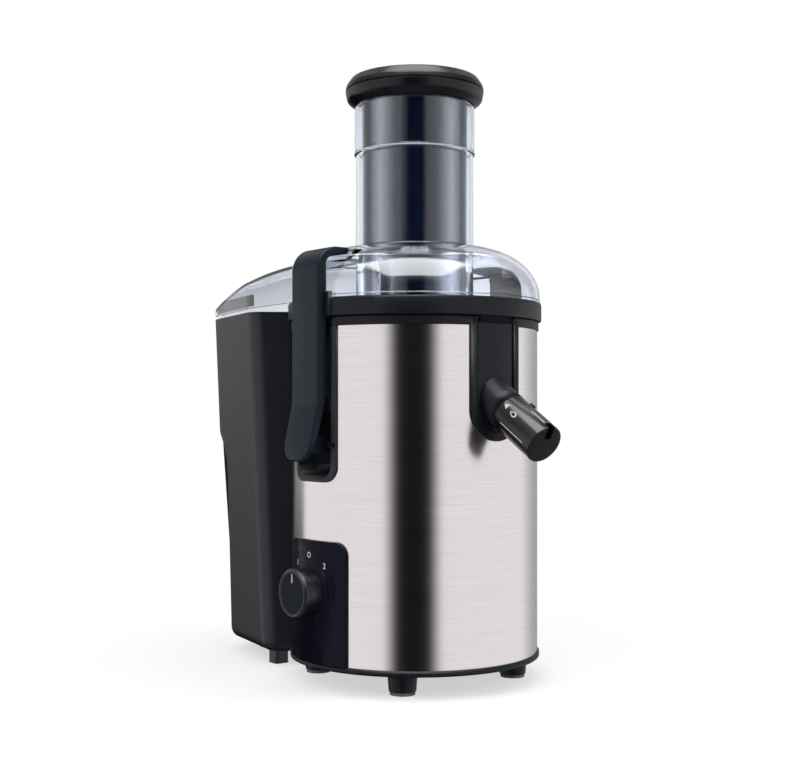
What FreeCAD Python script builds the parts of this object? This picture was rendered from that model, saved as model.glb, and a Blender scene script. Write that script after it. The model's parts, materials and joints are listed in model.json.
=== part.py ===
import FreeCAD
import Part
import math
import os

# Centrifugal juicer, in millimetres. Every piece is drawn about the drive axis (x = y = 0) with the bench
# at z = 0: +X is the juice spout, -Y the front with the dial, -X the pulp bin. The finished pieces are then
# moved along X, so that the origin lies on the bench under the middle of the whole outline.

Vec = FreeCAD.Vector
UP = Vec(0, 0, 1)
FRONT = -1
REAR = 1
ORIGIN = Vec(0, 0, 0)

# Motor base
BENCH = 0.0
BASE_R = 83.5
BASE_Z = 13.6
BASE_FLOOR = 2.6
BASE_EDGE = 1.2
UPSTAND_R = 78.3
UPSTAND_WALL = 2.0
UPSTAND_HEIGHT = 9.0
VENT_COUNT = 16
VENT_R0 = 24.0
VENT_R1 = 44.0
VENT_WIDTH = 4.0
VENT_ROUND = 1.9
SLEEVE_R = 82.2
SLEEVE_SHEET = 0.8
SLEEVE_Z0 = 17.3
SLEEVE_Z1 = 232.0
SLEEVE_OPEN_ANGLE = 90.0
HOUSING_R = 81.3
HOUSING_WALL = 2.7
HOUSING_TOP = 231.0
DECK_Z = 172.0
DECK_THICK = 3.0
RELIEF_SIDE = 4.0
RELIEF_BACK = 8.0
TRIM_R = 83.1
TRIM_BORE_R = 77.9
TRIM_Z0 = 230.4
TRIM_ROUND = 0.6
FRAME_STAND = 0.5
COLLAR_Z0 = 236.4
COLLAR_Z1 = 248.4
COLLAR_R = 85.0
COLLAR_FOOT_ROUND = 0.8
COLLAR_TOP_ROUND = 1.4
GLAND_Z = 38.0
GLAND_R = 6.0
GLAND_FLANGE_R = 9.0
GLAND_FLANGE = 2.0
GLAND_NUT = 2.4
GLAND_STAND = 3.0
CORD_R = 3.4

# Feet and fasteners
FOOT_OFFSET = 46.5
FOOT_R = 8.7
FOOT_FLARE = 0.9
PAD_R = 8.0
PAD_HEIGHT = 2.2
PAD_STUD_R = 3.5
PAD_STUD_TOP = 8.0
SCREW_R = 1.8
SCREW_HEAD_R = 3.6
SCREW_HEAD = 2.0
SCREW_LENGTH = 16.0
SCREW_CIRCLE = 69.0
SCREW_COUNT = 4
SCREW_START = 30.0
SCREW_BOSS = 2.0
POST_R = 5.0
POST_RIB = 2.0
POST_TOP = 40.0

# Control panel and speed dial
PANEL_HALF = 30.0
PANEL_TOP = 94.8
PANEL_CORNER = 8.5
PANEL_R = 84.2
PANEL_PLUG = 3.0
PANEL_DEPTH = 2.0
PANEL_ROOM = 6.0
DIAL_Z = 62.0
DIAL_SEAT_Y = -84.8
DIAL_SEAT_R = 17.8
KNOB_R = 15.8
KNOB_WAIST_R = 15.1
KNOB_RING = 4.4
KNOB_BEVEL = 1.4
KNOB_LAND = 0.7
KNOB_DISH = 0.5
KNOB_FACE_Y = -99.0
POINTER_HALF = 0.6
POINTER_DEPTH = 0.8
POINTER_R0 = 6.8
POINTER_R1 = 12.3
SWITCH_SHAFT_R = 3.0
SWITCH_SHAFT_TIP = 4.0
SWITCH_SHAFT_IN = 5.0
SWITCH_BUSH_R = 4.6
SWITCH_HALF = 13.0
SWITCH_CORNER = 3.0
SWITCH_DEPTH = 17.0
SWITCH_BACK_Y = -61.0
TAB_COUNT = 5
TAB_PITCH = 4.6
TAB_HALF = 3.0
TAB_SHEET = 0.8
TAB_LENGTH = 7.0

# Locking arms and the wells that they swing in
ARM_HALF = 15.0
ARM_FACE = 89.0
ARM_THICK = 7.0
ARM_TAIL_Y = 97.2
ARM_TAIL_Z = 145.0
ARM_TAIL_THICK = 4.6
ARM_TAIL_ROUND = 2.0
ARM_TAIL_CORNER = 13.0
ARM_BEND_Z = 182.0
ARM_BEND_IN_Z = 184.0
ARM_BEND_R = 40.0
ARM_TOP_Z = 281.0
ARM_TOP_R = 15.0
ARM_TOP_CORNER = 5.0
ARM_UNDER_R = 6.0
ARM_TIP_Y = 64.0
ARM_TIP_THICK = 4.0
ARM_TIP_FALL = 2.6
ARM_TIP_ROUND = 1.8
ARM_TIP_EDGE = 1.2
PIVOT_Y = 79.6
PIVOT_Z = 155.5
PIVOT_BARREL_R = 5.2
PIVOT_LUG_HALF = 9.0
WEB_TOP_Y = 89.5
WEB_RISE = 4.0
WEB_FOOT_Y = 93.0
PIN_R = 2.0
WELL_HALF = 18.0
WELL_WALL = 2.2
WELL_FLANGE = 22.2
WELL_FLANGE_CORNER = 10.0
WELL_STAND = 0.3
WELL_Z0 = 132.0
WELL_LIP = 1.8
WELL_CORNER = 8.0
WELL_FOOT_ROUND = 6.5
WELL_DEEP_Y = 69.0
WELL_SHALLOW_Y = 79.8
WELL_BACK = 1.4
WELL_STEP_Z = 176.0
NOTCH_Y = 81.2
NOTCH_HALF = 16.4
EAR_WIDTH = 3.2
EAR_BACK = 0.6
EAR_TOP = 252.0

# Filter bowl and juice spout
BOWL_R = 77.4
BOWL_WALL = 2.2
BOWL_FLOOR_Z = 186.0
BOWL_FLOOR_FALL = 3.0
BOWL_FOOT_Z = 174.8
BOWL_SKIRT = 2.4
BOWL_BRIM = 2.8
HUB_R = 22.0
HUB_TOP = 212.0
DAM_R0 = 16.0
DAM_R1 = 18.5
DAM_TOP = 194.0
SHAFT_SEAL_EDGE_Z = 184.0
SHAFT_SEAL_DIP_R = 8.0
SHAFT_SEAL_DIP_Z = 181.0
SHAFT_SEAL_LIP_Z = 186.0
SPOUT_TILT = 31.7
SPOUT_END_X = 125.4
SPOUT_END_Z = 156.7
SPOUT_BORE_R = 7.8
SPOUT_TUBE_R = 9.6
SPOUT_LENGTH = 90.0
TUBE_SHORT = 3.0
STUB_R = 12.6
STUB_ROOT_R = 13.2
STUB_LENGTH = 8.0
STUB_ROOT_LENGTH = 24.0
NOZZLE_R = 12.5
NOZZLE_LENGTH = 36.0
NOZZLE_DISC = 2.2
NOZZLE_NOTCH_HALF = 2.6
NOZZLE_NOTCH_FOOT = 4.0
NOZZLE_BUMP_R = 2.2
NOZZLE_BUMP_TOP = 13.7
NOZZLE_BUMP_BACK = 27.0
NOZZLE_BUMP_TURN = 32.0
NOZZLE_LINE_BACK = 7.0
NOZZLE_LINE_WIDTH = 0.8
NOZZLE_LINE_DEPTH = 0.4
SPOUT_PLATE_R = 82.6
SPOUT_PLATE_ROOT = 6.0
SPOUT_PLATE_HALF = 14.5
SPOUT_PLATE_Z0 = 164.0
SPOUT_SLOT_HALF = 20.0
SPOUT_SLOT_Z0 = 158.0
SPOUT_SLOT_LIP = 1.8
SPOUT_SEAL_BACK = 20.0
SPOUT_SEAL_WIDTH = 2.4
SPOUT_SEAL_DEPTH = 1.0

# Lid: dome and pulp hood, with the feed chute on top
LID_R = 84.3
LID_WALL = 2.2
DOME_SPRING_Z = 252.0
DOME_TOP_Z = 285.5
CHUTE_R = 39.6
CHUTE_BORE_R = 37.4
CHUTE_NECK_R = 39.3
CHUTE_TOP_R = 40.2
CHUTE_TOP_BORE_R = 37.9
CHUTE_TOP_ROUND = 0.8
CHUTE_BEAD_R = 40.7
CHUTE_BEAD_Z = 349.5
CHUTE_BEAD = 1.4
CHUTE_STEP = 3.0
CHUTE_TOP_Z = 381.0
CHUTE_END_Z = 239.0
CHUTE_FOOT = 7.0
CHUTE_FOOT_Z0 = 284.0
CHUTE_FOOT_Z1 = 291.5
CHUTE_STRAIGHT_Z = 293.5
HOOD_ROOF_Z = 285.0
HOOD_ROOF_R = 590.0
HOOD_CROWN_R = 260.0
HOOD_JOIN = (-22.0, -66.0)
HOOD_FRONT = (-30.0, -78.6)
HOOD_SIDE = (-95.0, -74.0)
HOOD_SIDE_R = 60.0
HOOD_BACK = (-193.4, -48.6)
HOOD_BACK_R = 34.0
HOOD_SEAL_Z0 = 249.8
HOOD_SEAL_Z1 = 257.6
HOOD_SEAL_THICK = 2.0
HOOD_SEAL_X = -89.0
HOOK_POCKET_Y = 61.5
HOOK_POCKET_Z = 272.6
LID_POCKET_HALF = 20.4
LID_POCKET_FOOT = 243.4

# Food pusher
PUSHER_R = 35.2
PUSHER_WALL = 2.4
PUSHER_Z0 = 249.0
PUSHER_FOOT_R = 3.0
PUSHER_Z1 = 388.5
CAP_R = 46.5
CAP_Z0 = 381.4
CAP_FOOT_R = 40.4
CAP_FOOT_ROUND = 0.5
CAP_BULGE_R = 45.4
CAP_BULGE_Z = 385.0
CAP_BULGE_ROUND = 4.5
CAP_SEAM_Z = 391.5
CAP_SEAM = 0.5
CAP_SEAM_DEPTH = 0.9
CAP_SHOULDER_R = 45.9
CAP_SHOULDER_Z = 394.9
CAP_SHOULDER_ROUND = 5.0
CAP_RIM_R = 42.6
CAP_RIM_Z = 399.7
CAP_RIM_ROUND = 3.0
CAP_CROWN_R = 34.0
CAP_CROWN_Z = 402.3
CAP_CROWN_ROUND = 60.0
CAP_TOP_Z = 404.0

# Pulp bin: sizes at the foot and at the rim
BIN_BACK = 193.0
BIN_BACK_FOOT = 180.0
BIN_BACK_HALF = 47.8
BIN_BACK_HALF_FOOT = 45.3
BIN_BACK_R = 27.0
BIN_CHEEK = 90.5
BIN_CHEEK_FOOT = 86.0
BIN_CHEEK_HALF = 73.0
BIN_CHEEK_HALF_FOOT = 64.0
BIN_CHEEK_R = 13.0
BIN_FRONT = 60.0
BIN_FRONT_HALF = 22.5
BIN_FRONT_HALF_FOOT = 26.0
BIN_RIM_Z = 246.0
BIN_FLOOR_Z = 8.5
BIN_WALL = 2.4
BIN_NEST_R = 87.0
BIN_EDGE_R = 9.0
BIN_EDGE_STEPS = 5
GRIP_TOP_Z = 167.0
GRIP_X = -155.0
GRIP_SWEEP_R = 38.0
GRIP_LEAN = 3.4
GRIP_CORNER_R = 36.0
LEG_X = -91.0
LEG_Y = 50.0
LEG_HALF = 5.5
LEG_CORNER = 2.5
LEG_ROOT = 1.2
BACK_LEG_X = -148.0
BACK_LEG_Y = 22.0

# Motor
SHAFT_R = 4.0
SHAFT_Z0 = 34.0
SHAFT_Z1 = 208.0
SHAFT_FLAT = 0.8
SHAFT_FLAT_LENGTH = 12.0
STATOR_HALF = 44.0
STATOR_CORNER = 14.0
STATOR_Z0 = 84.0
STATOR_Z1 = 122.0
STATOR_WINDOW_R = 36.0
STATOR_WINDOW_HALF_ANGLE = 32.0
COIL_R0 = 25.6
COIL_R1 = 35.4
COIL_END = 9.0
COIL_HALF_ANGLE = 84.0
COIL_POLE_HALF_ANGLE = 60.0
ARMATURE_R = 24.0
ARMATURE_SLOTS = 12
ARMATURE_SLOT_R = 18.0
ARMATURE_SLOT_ROUND = 2.6
ARMATURE_SLOT_MOUTH = 1.8
WINDING_R = 21.5
WINDING_END_R = 20.0
WINDING_EDGE = 7.0
WINDING_HEIGHT = 10.0
AIR_GAP = 0.6
BEARING_R = 11.0
BEARING_WIDTH = 7.0
UPPER_BEARING_Z = 155.0
LOWER_BEARING_Z = 38.0
UPPER_PLATE_Z = 151.0
LOWER_PLATE_Z = 40.0
BRACKET_R = 57.0
BRACKET_HALF = 7.5
BRACKET_THICK = 4.0
BRACKET_CUP = 4.0
BRACKET_BORE_R = 7.0
BRACKET_BARS = 2
BRACKET_START = 45.0
BOLT_R = 2.0
BOLT_HEAD_R = 4.0
BOLT_HEAD = 3.0
BOLT_OFFSET = 36.5
MOUNT_CIRCLE = 34.0
MOUNT_COUNT = 4
MOUNT_R = 5.5
MOUNT_WAIST_R = 4.0
MOUNT_FLANGE = 4.0
COMMUTATOR_R = 12.0
COMMUTATOR_Z0 = 51.0
COMMUTATOR_Z1 = 66.0
COMMUTATOR_BARS = 24
COMMUTATOR_SLIT = 0.5
COMMUTATOR_SLIT_DEPTH = 1.2
BRUSH_COUNT = 2
BRUSH_HALF = 3.0
BRUSH_BACK = 30.0
HOLDER_HALF = 4.6
HOLDER_R0 = 14.0
HOLDER_R1 = 36.0
HOLDER_END = 2.0
FAN_R = 38.0
FAN_HUB_R = 10.0
FAN_PLATE = 1.6
FAN_Z0 = 137.0
FAN_BLADE_HEIGHT = 11.0
FAN_BLADE_SHEET = 1.6
FAN_BLADE_CURVE = 27.0
FAN_BLADE_CENTRE = (8.0, -26.0)
FAN_BLADES = 9
COUPLING_R = 11.0
COUPLING_Z0 = 190.0
COUPLING_Z1 = 212.0
COUPLING_LUGS = 6
COUPLING_LUG_R = 1.7
COUPLING_FLUTE_R = 2.0
COUPLING_ROUND = 1.5
COUPLING_LUG_CIRCLE = 11.4
COUPLING_FOOT = 6.0
INTERLOCK_HALF = 10.0
INTERLOCK_DEPTH = 10.0
INTERLOCK_Z0 = 140.0
INTERLOCK_Z1 = 150.0
INTERLOCK_TAB_PITCH = 6.0
INTERLOCK_TAB = 5.0
CAPACITOR_X0 = -62.0
CAPACITOR_X1 = -48.0
CAPACITOR_HALF = 12.0
CAPACITOR_CORNER = 3.0
CAPACITOR_TOP = 50.0

# Filter basket
HUB_CUP_R = 16.5
HUB_CUP_Z0 = 198.0
HUB_FLARE = 5.0
HUB_EDGE = 3.0
HUB_EDGE_R = 48.8
HUB_TOP_R = 50.0
HUB_GAP = 0.3
GRATER_R = 48.0
GRATER_Z = 222.0
GRATER_SHEET = 1.2
GRATER_ROWS = 12
GRATER_TEETH = 5
TOOTH_R0 = 12.0
TOOTH_PITCH = 7.2
TOOTH_STAGGER = 3.0
TOOTH_WIDTH = 1.6
TOOTH_LEAN = 1.6
TOOTH_BACK = 1.4
TOOTH_TOP = 3.4
BASKET_TOP_R = 67.0
BASKET_TOP_Z = 244.0
BASKET_RIM_R = 71.0
BASKET_RIM_Z = 248.0
BASKET_RIM_ROUND = 1.2
BASKET_RIM_LAP = 0.6
MESH_SHEET = 0.8
MESH_STAND = 0.2

# Fits: a turning or pressed fit, the nozzle on its tube, a sheet on its seat, and parts that clear each
# other. A cutter runs past the piece it cuts by OVER, or to FAR where its end does not matter.
FIT = 0.05
NOZZLE_FIT = 0.08
SEAL_STAND = 0.02
SEATING = 0.1
CLEAR = 0.2
GAP = 0.4
OVER = 1.0
FAR = 60.0


# Shape helpers

def upright(shape):
    # A solid must not hold a point far outside it: if it does, its faces look inwards.
    if shape.isInside(Vec(1e5, 1e5, 1e5), 1e-6, False):
        shape.reverse()
    return shape


def rounded(corners, place):
    # A closed wire through corners (u, v, radius), each rounded by its own radius.
    count = len(corners)
    entries = []
    leaves = []
    arcs = []
    for i in range(count):
        here = Vec(corners[i][0], corners[i][1], 0)
        before = corners[i - 1]
        after = corners[(i + 1) % count]
        back = (Vec(before[0], before[1], 0) - here).normalize()
        on = (Vec(after[0], after[1], 0) - here).normalize()
        radius = corners[i][2]
        half = back.getAngle(on) / 2
        reach = radius / math.tan(half)
        entries.append(here + back * reach)
        leaves.append(here + on * reach)
        bisector = (back + on).normalize()
        arcs.append(here + bisector * (radius / math.sin(half) - radius))
    edges = []
    for i in range(count):
        if corners[i][2]:
            points = [place(p.x, p.y) for p in (entries[i], arcs[i], leaves[i])]
            edges.append(Part.Arc(*points).toShape())
        start = place(leaves[i].x, leaves[i].y)
        end = place(entries[(i + 1) % count].x, entries[(i + 1) % count].y)
        if (end - start).Length > 1e-6:
            edges.append(Part.makeLine(start, end))
    return Part.Wire(edges)


def inset(corners, depth):
    # The same convex outline moved inwards by depth.
    count = len(corners)
    moved = []
    for i in range(count):
        here = Vec(corners[i][0], corners[i][1], 0)
        before = corners[i - 1]
        after = corners[(i + 1) % count]
        back = (Vec(before[0], before[1], 0) - here).normalize()
        on = (Vec(after[0], after[1], 0) - here).normalize()
        half = back.getAngle(on) / 2
        point = here + (back + on).normalize() * (depth / math.sin(half))
        radius = max(corners[i][2] - depth, 0.5) if corners[i][2] else 0
        moved.append((point.x, point.y, radius))
    return moved


def rectangle(u0, u1, v0, v1, radius):
    return [(u0, v0, radius), (u1, v0, radius), (u1, v1, radius), (u0, v1, radius)]


def turned(corners, angle=360.0):
    wire = rounded(corners, lambda r, z: Vec(r, 0, z))
    return upright(Part.Face(wire).revolve(ORIGIN, UP, angle))


def prism_x(corners, x0, x1):
    wire = rounded(corners, lambda y, z: Vec(x0, y, z))
    return upright(Part.Face(wire).extrude(Vec(x1 - x0, 0, 0)))


def prism_y(corners, y0, y1):
    wire = rounded(corners, lambda x, z: Vec(x, y0, z))
    return upright(Part.Face(wire).extrude(Vec(0, y1 - y0, 0)))


def prism_z(corners, z0, z1):
    wire = rounded(corners, lambda x, y: Vec(x, y, z0))
    return upright(Part.Face(wire).extrude(Vec(0, 0, z1 - z0)))


def block(x0, x1, y0, y1, z0, z1):
    return Part.makeBox(x1 - x0, y1 - y0, z1 - z0, Vec(x0, y0, z0))


def rod(radius, z0, z1, x=0.0, y=0.0):
    return Part.makeCylinder(radius, z1 - z0, Vec(x, y, z0), UP)


def ring(r_in, r_out, z0, z1, x=0.0, y=0.0):
    return rod(r_out, z0, z1, x, y).cut(rod(r_in, z0, z1, x, y))


def rod_x(radius, x0, x1, y, z):
    return Part.makeCylinder(radius, x1 - x0, Vec(x0, y, z), Vec(1, 0, 0))


def rod_y(radius, y0, y1, x, z):
    return Part.makeCylinder(radius, y1 - y0, Vec(x, y0, z), Vec(0, 1, 0))


def around(shape, count, start=0.0):
    copies = []
    for i in range(count):
        copy = shape.copy()
        copy.rotate(ORIGIN, UP, start + 360.0 * i / count)
        copies.append(copy)
    return copies


def sector(radius, z0, z1, middle, half):
    # A pie slice about the drive axis, to cut an opening of that angle.
    wedge = Part.makeCylinder(radius, z1 - z0, Vec(0, 0, z0), UP, 2 * half)
    wedge.rotate(ORIGIN, UP, middle - half)
    return wedge


def mirrored(shape):
    return shape.mirror(ORIGIN, Vec(0, 1, 0))


def fuse(first, *others):
    return first.fuse(list(others)).removeSplitter()


# Outlines shared by several pieces

def well_outline(half, z0, corner, top):
    # Front view of an arm well: an upright slot with a rounded foot, open at the top.
    return [(-half, top, 0), (-half, z0, corner), (half, z0, corner), (half, top, 0)]


def spout_slot_outline(half, z0, top):
    # Front view of the spout slot, with a half-round foot.
    return [(-half, top, 0), (-half, z0, half), (half, z0, half), (half, top, 0)]


def panel_outline(margin):
    half = PANEL_HALF - margin
    corner = PANEL_CORNER - margin
    top = PANEL_TOP - margin
    return [(-half, SLEEVE_Z0, 0), (half, SLEEVE_Z0, 0), (half, top, corner), (-half, top, corner)]


def spout_axis(distance):
    # A point on the spout's axis, that far back from its outer end.
    tilt = math.radians(SPOUT_TILT)
    return Vec(SPOUT_END_X - distance * math.cos(tilt), 0, SPOUT_END_Z + distance * math.sin(tilt))


def spout_direction():
    tilt = math.radians(SPOUT_TILT)
    return Vec(math.cos(tilt), 0, -math.sin(tilt))


def spout_rod(radius, back, front):
    return Part.makeCylinder(radius, back - front, spout_axis(back), spout_direction())


def spout_cone(r_back, r_front, back, front):
    return Part.makeCone(r_back, r_front, back - front, spout_axis(back), spout_direction())


# Motor base

def foot_places():
    return [(x, y) for x in (-FOOT_OFFSET, FOOT_OFFSET) for y in (-FOOT_OFFSET, FOOT_OFFSET)]


def screw_turns():
    return [SCREW_START + 360.0 * i / SCREW_COUNT for i in range(SCREW_COUNT)]


def screw_places():
    turns = [math.radians(turn) for turn in screw_turns()]
    return [(SCREW_CIRCLE * math.cos(turn), SCREW_CIRCLE * math.sin(turn)) for turn in turns]


def base_plate():
    floor_top = BASE_Z + BASE_FLOOR
    boss_top = floor_top + SCREW_BOSS
    upstand_top = SLEEVE_Z0 + UPSTAND_HEIGHT
    upstand_in = UPSTAND_R - UPSTAND_WALL
    dish = turned([(0, BASE_Z, 0), (BASE_R, BASE_Z, BASE_EDGE), (BASE_R, SLEEVE_Z0, 0),
                   (UPSTAND_R, SLEEVE_Z0, 0), (UPSTAND_R, upstand_top, 0),
                   (upstand_in, upstand_top, 0), (upstand_in, floor_top, 0), (0, floor_top, 0)])
    bosses = []
    holes = []
    for x, y in foot_places():
        height = BASE_Z - PAD_HEIGHT
        bosses.append(Part.makeCone(FOOT_R, FOOT_R + FOOT_FLARE, height, Vec(x, y, PAD_HEIGHT), UP))
        holes.append(rod(PAD_STUD_R + FIT, PAD_HEIGHT, PAD_STUD_TOP + FIT, x, y))
    for x, y in screw_places():
        bosses.append(rod(SCREW_HEAD_R + SCREW_BOSS, BASE_Z, boss_top, x, y))
        holes.append(rod(SCREW_HEAD_R + FIT, BASE_Z, BASE_Z + SCREW_HEAD, x, y))
        holes.append(rod(SCREW_R + FIT, BASE_Z, boss_top, x, y))
    half = VENT_WIDTH / 2
    vent = prism_z(rectangle(VENT_R0, VENT_R1, -half, half, VENT_ROUND), BASE_Z, floor_top)
    return fuse(dish, *bosses).cut(holes + around(vent, VENT_COUNT))


def foot_pads():
    pads = []
    for x, y in foot_places():
        pad = rod(PAD_R, BENCH, PAD_HEIGHT, x, y)
        stud = rod(PAD_STUD_R, PAD_HEIGHT, PAD_STUD_TOP, x, y)
        pads.append(fuse(pad, stud))
    return Part.makeCompound(pads)


def base_screws():
    screws = []
    for x, y in screw_places():
        neck = BASE_Z + SCREW_HEAD
        head = rod(SCREW_HEAD_R, BASE_Z + CLEAR, neck, x, y)
        shank = rod(SCREW_R, neck, neck + SCREW_LENGTH, x, y)
        screws.append(fuse(head, shank))
    return Part.makeCompound(screws)


def gland_hole(radius):
    return rod_y(radius, FAR, BASE_R + GLAND_STAND, 0, GLAND_Z)


def motor_housing():
    inner = HOUSING_R - HOUSING_WALL
    wall = ring(inner, HOUSING_R, SLEEVE_Z0, HOUSING_TOP)
    # The back face, behind the bin, is bare of the sleeve and stands flush with it.
    back = ring(HOUSING_R - GAP, SLEEVE_R, SLEEVE_Z0, HOUSING_TOP - OVER)
    back = back.common(sector(BASE_R, SLEEVE_Z0, SLEEVE_Z1, 180.0, SLEEVE_OPEN_ANGLE / 2 - GAP))
    rib = block(SCREW_CIRCLE, inner + OVER, -POST_RIB / 2, POST_RIB / 2,
                SLEEVE_Z0 + UPSTAND_HEIGHT + OVER, POST_TOP)
    posts = around(rib, SCREW_COUNT, SCREW_START)
    holes = []
    for x, y in screw_places():
        posts.append(rod(POST_R, BASE_Z + BASE_FLOOR + SCREW_BOSS, POST_TOP, x, y))
        holes.append(rod(SCREW_R + FIT, BASE_Z, BASE_Z + SCREW_HEAD + SCREW_LENGTH + OVER, x, y))
    panel = prism_y(panel_outline(PANEL_PLUG - GAP), -BASE_R, -inner + PANEL_ROOM)
    holes += well_and_spout_room() + [panel, gland_hole(GLAND_R + CLEAR)]
    return fuse(wall, back, *posts).cut(holes)


def well_and_spout_room():
    # What the housing and its deck leave free for both wells and for the bowl's spout plate.
    top = HOUSING_TOP + OVER
    half = WELL_HALF + WELL_WALL + CLEAR
    front_view = well_outline(half, WELL_Z0 + WELL_LIP - GAP, WELL_CORNER, top)
    well = prism_y(front_view, -BASE_R, -WELL_DEEP_Y + WELL_WALL + CLEAR)
    side_view = spout_slot_outline(SPOUT_PLATE_HALF + GAP, SPOUT_PLATE_Z0 - GAP, top)
    slot = prism_x(side_view, BOWL_R - SPOUT_PLATE_ROOT - OVER, BASE_R)
    return [well, mirrored(well), slot]


def motor_deck():
    # The floor over the motor that the bowl stands on, with a dam round the shaft.
    deck = ring(DAM_R0, HOUSING_R - HOUSING_WALL - FIT, DECK_Z, DECK_Z + DECK_THICK)
    dam = ring(DAM_R0, DAM_R1, DECK_Z, DAM_TOP)
    half = WELL_HALF + RELIEF_SIDE
    relief = block(-half, half, -BASE_R, -WELL_DEEP_Y + RELIEF_BACK,
                   DECK_Z - OVER, DECK_Z + DECK_THICK + OVER)
    return fuse(deck, dam).cut(well_and_spout_room() + [relief, mirrored(relief)])


def steel_sleeve():
    sheet = ring(SLEEVE_R - SLEEVE_SHEET, SLEEVE_R, SLEEVE_Z0, SLEEVE_Z1)
    top = SLEEVE_Z1 + OVER
    half = WELL_HALF + WELL_WALL + GAP
    well = prism_y(well_outline(half, WELL_Z0 + WELL_LIP - CLEAR, WELL_CORNER, top), -BASE_R, -FAR)
    panel = prism_y(panel_outline(PANEL_PLUG - 2 * GAP), -BASE_R, -FAR)
    lip = SPOUT_SLOT_LIP - CLEAR
    slot = prism_x(spout_slot_outline(SPOUT_SLOT_HALF - lip, SPOUT_SLOT_Z0 + lip, top), FAR, BASE_R)
    back = sector(BASE_R, SLEEVE_Z0 - OVER, top, 180.0, SLEEVE_OPEN_ANGLE / 2)
    return sheet.cut([well, mirrored(well), panel, slot, back, gland_hole(GLAND_R + GAP)])


def housing_trim():
    # The band between the steel and the bowl's collar, with the frame round the spout slot.
    seat = SLEEVE_R + SEATING
    foot = SLEEVE_Z1 + CLEAR
    band = turned([(TRIM_BORE_R, foot, 0), (seat, foot, 0), (seat, TRIM_Z0, 0), (TRIM_R, TRIM_Z0, 0),
                   (TRIM_R, COLLAR_Z0 - CLEAR, TRIM_ROUND), (TRIM_BORE_R, COLLAR_Z0 - CLEAR, 0)])
    reach = BASE_R + OVER
    frame = prism_x(spout_slot_outline(SPOUT_SLOT_HALF, SPOUT_SLOT_Z0, TRIM_Z0 + OVER), FAR, reach)
    frame = frame.common(ring(seat, TRIM_R + FRAME_STAND, SPOUT_SLOT_Z0, TRIM_Z0 + OVER))
    half = SPOUT_SLOT_HALF - SPOUT_SLOT_LIP
    throat_view = spout_slot_outline(half, SPOUT_SLOT_Z0 + SPOUT_SLOT_LIP, SLEEVE_Z1 + OVER)
    throat = prism_x(throat_view, FAR, BASE_R)
    throat = throat.common(ring(HOUSING_R + FIT, SLEEVE_R + CLEAR, SPOUT_SLOT_Z0, SLEEVE_Z1 + OVER))
    hole_view = spout_slot_outline(SPOUT_PLATE_HALF + GAP, SPOUT_PLATE_Z0 - GAP, COLLAR_Z0 + OVER)
    hole = prism_x(hole_view, FAR, reach)
    notch = block(-WELL_HALF, WELL_HALF, -reach, -WELL_SHALLOW_Y, TRIM_Z0 - OVER, COLLAR_Z0 + OVER)
    return fuse(band, frame, throat).cut([hole, notch, mirrored(notch)])


def arm_well(side):
    # A moulded well let into the front or rear of the sleeve: deep below, where the tail swings in.
    top = SLEEVE_Z1
    flange_top = TRIM_Z0 - SEATING
    foot = WELL_Z0 + WELL_LIP
    half = WELL_HALF + WELL_WALL
    reach = BASE_R + OVER
    flange = prism_y(well_outline(WELL_FLANGE, WELL_Z0, WELL_FLANGE_CORNER, flange_top), -reach, -FAR)
    flange = flange.common(ring(SLEEVE_R + SEATING, TRIM_R + WELL_STAND, WELL_Z0, TRIM_Z0))
    body_view = well_outline(half, foot, WELL_CORNER, WELL_STEP_Z + WELL_WALL)
    body = prism_y(body_view, -BASE_R, -WELL_DEEP_Y + WELL_WALL)
    throat = prism_y(rectangle(-half, half, WELL_STEP_Z, top, 0), -BASE_R, -WELL_SHALLOW_Y + WELL_BACK)
    room = fuse(rod(TRIM_R, WELL_Z0, flange_top), rod(SLEEVE_R, WELL_Z0, top))
    body = fuse(body, throat).common(room)
    deep_view = well_outline(WELL_HALF, foot + WELL_WALL, WELL_FOOT_ROUND, WELL_STEP_Z)
    deep = prism_y(deep_view, -reach, -WELL_DEEP_Y)
    shallow_view = rectangle(-WELL_HALF, WELL_HALF, WELL_STEP_Z - OVER, top + OVER, 0)
    shallow = prism_y(shallow_view, -reach, -WELL_SHALLOW_Y)
    pin = rod_x(PIN_R + FIT, -half - OVER, half + OVER, -PIVOT_Y, PIVOT_Z)
    well = fuse(flange, body).cut([deep, shallow, pin])
    return well if side == FRONT else mirrored(well)


def arm_pin(side):
    length = WELL_HALF + WELL_WALL - CLEAR
    return rod_x(PIN_R, -length, length, side * PIVOT_Y, PIVOT_Z)


def cord_gland():
    y_in = HOUSING_R - HOUSING_WALL - GLAND_STAND
    y_out = SLEEVE_R + GLAND_STAND
    bush = rod_y(GLAND_R, y_in, y_out, 0, GLAND_Z)
    flange = rod_y(GLAND_FLANGE_R, SLEEVE_R + SEATING, SLEEVE_R + GLAND_FLANGE, 0, GLAND_Z)
    nut = rod_y(GLAND_FLANGE_R, y_in, y_in + GLAND_NUT, 0, GLAND_Z)
    return fuse(bush, flange, nut).cut(rod_y(CORD_R, y_in - OVER, y_out + OVER, 0, GLAND_Z))


# Control panel and dial

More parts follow.
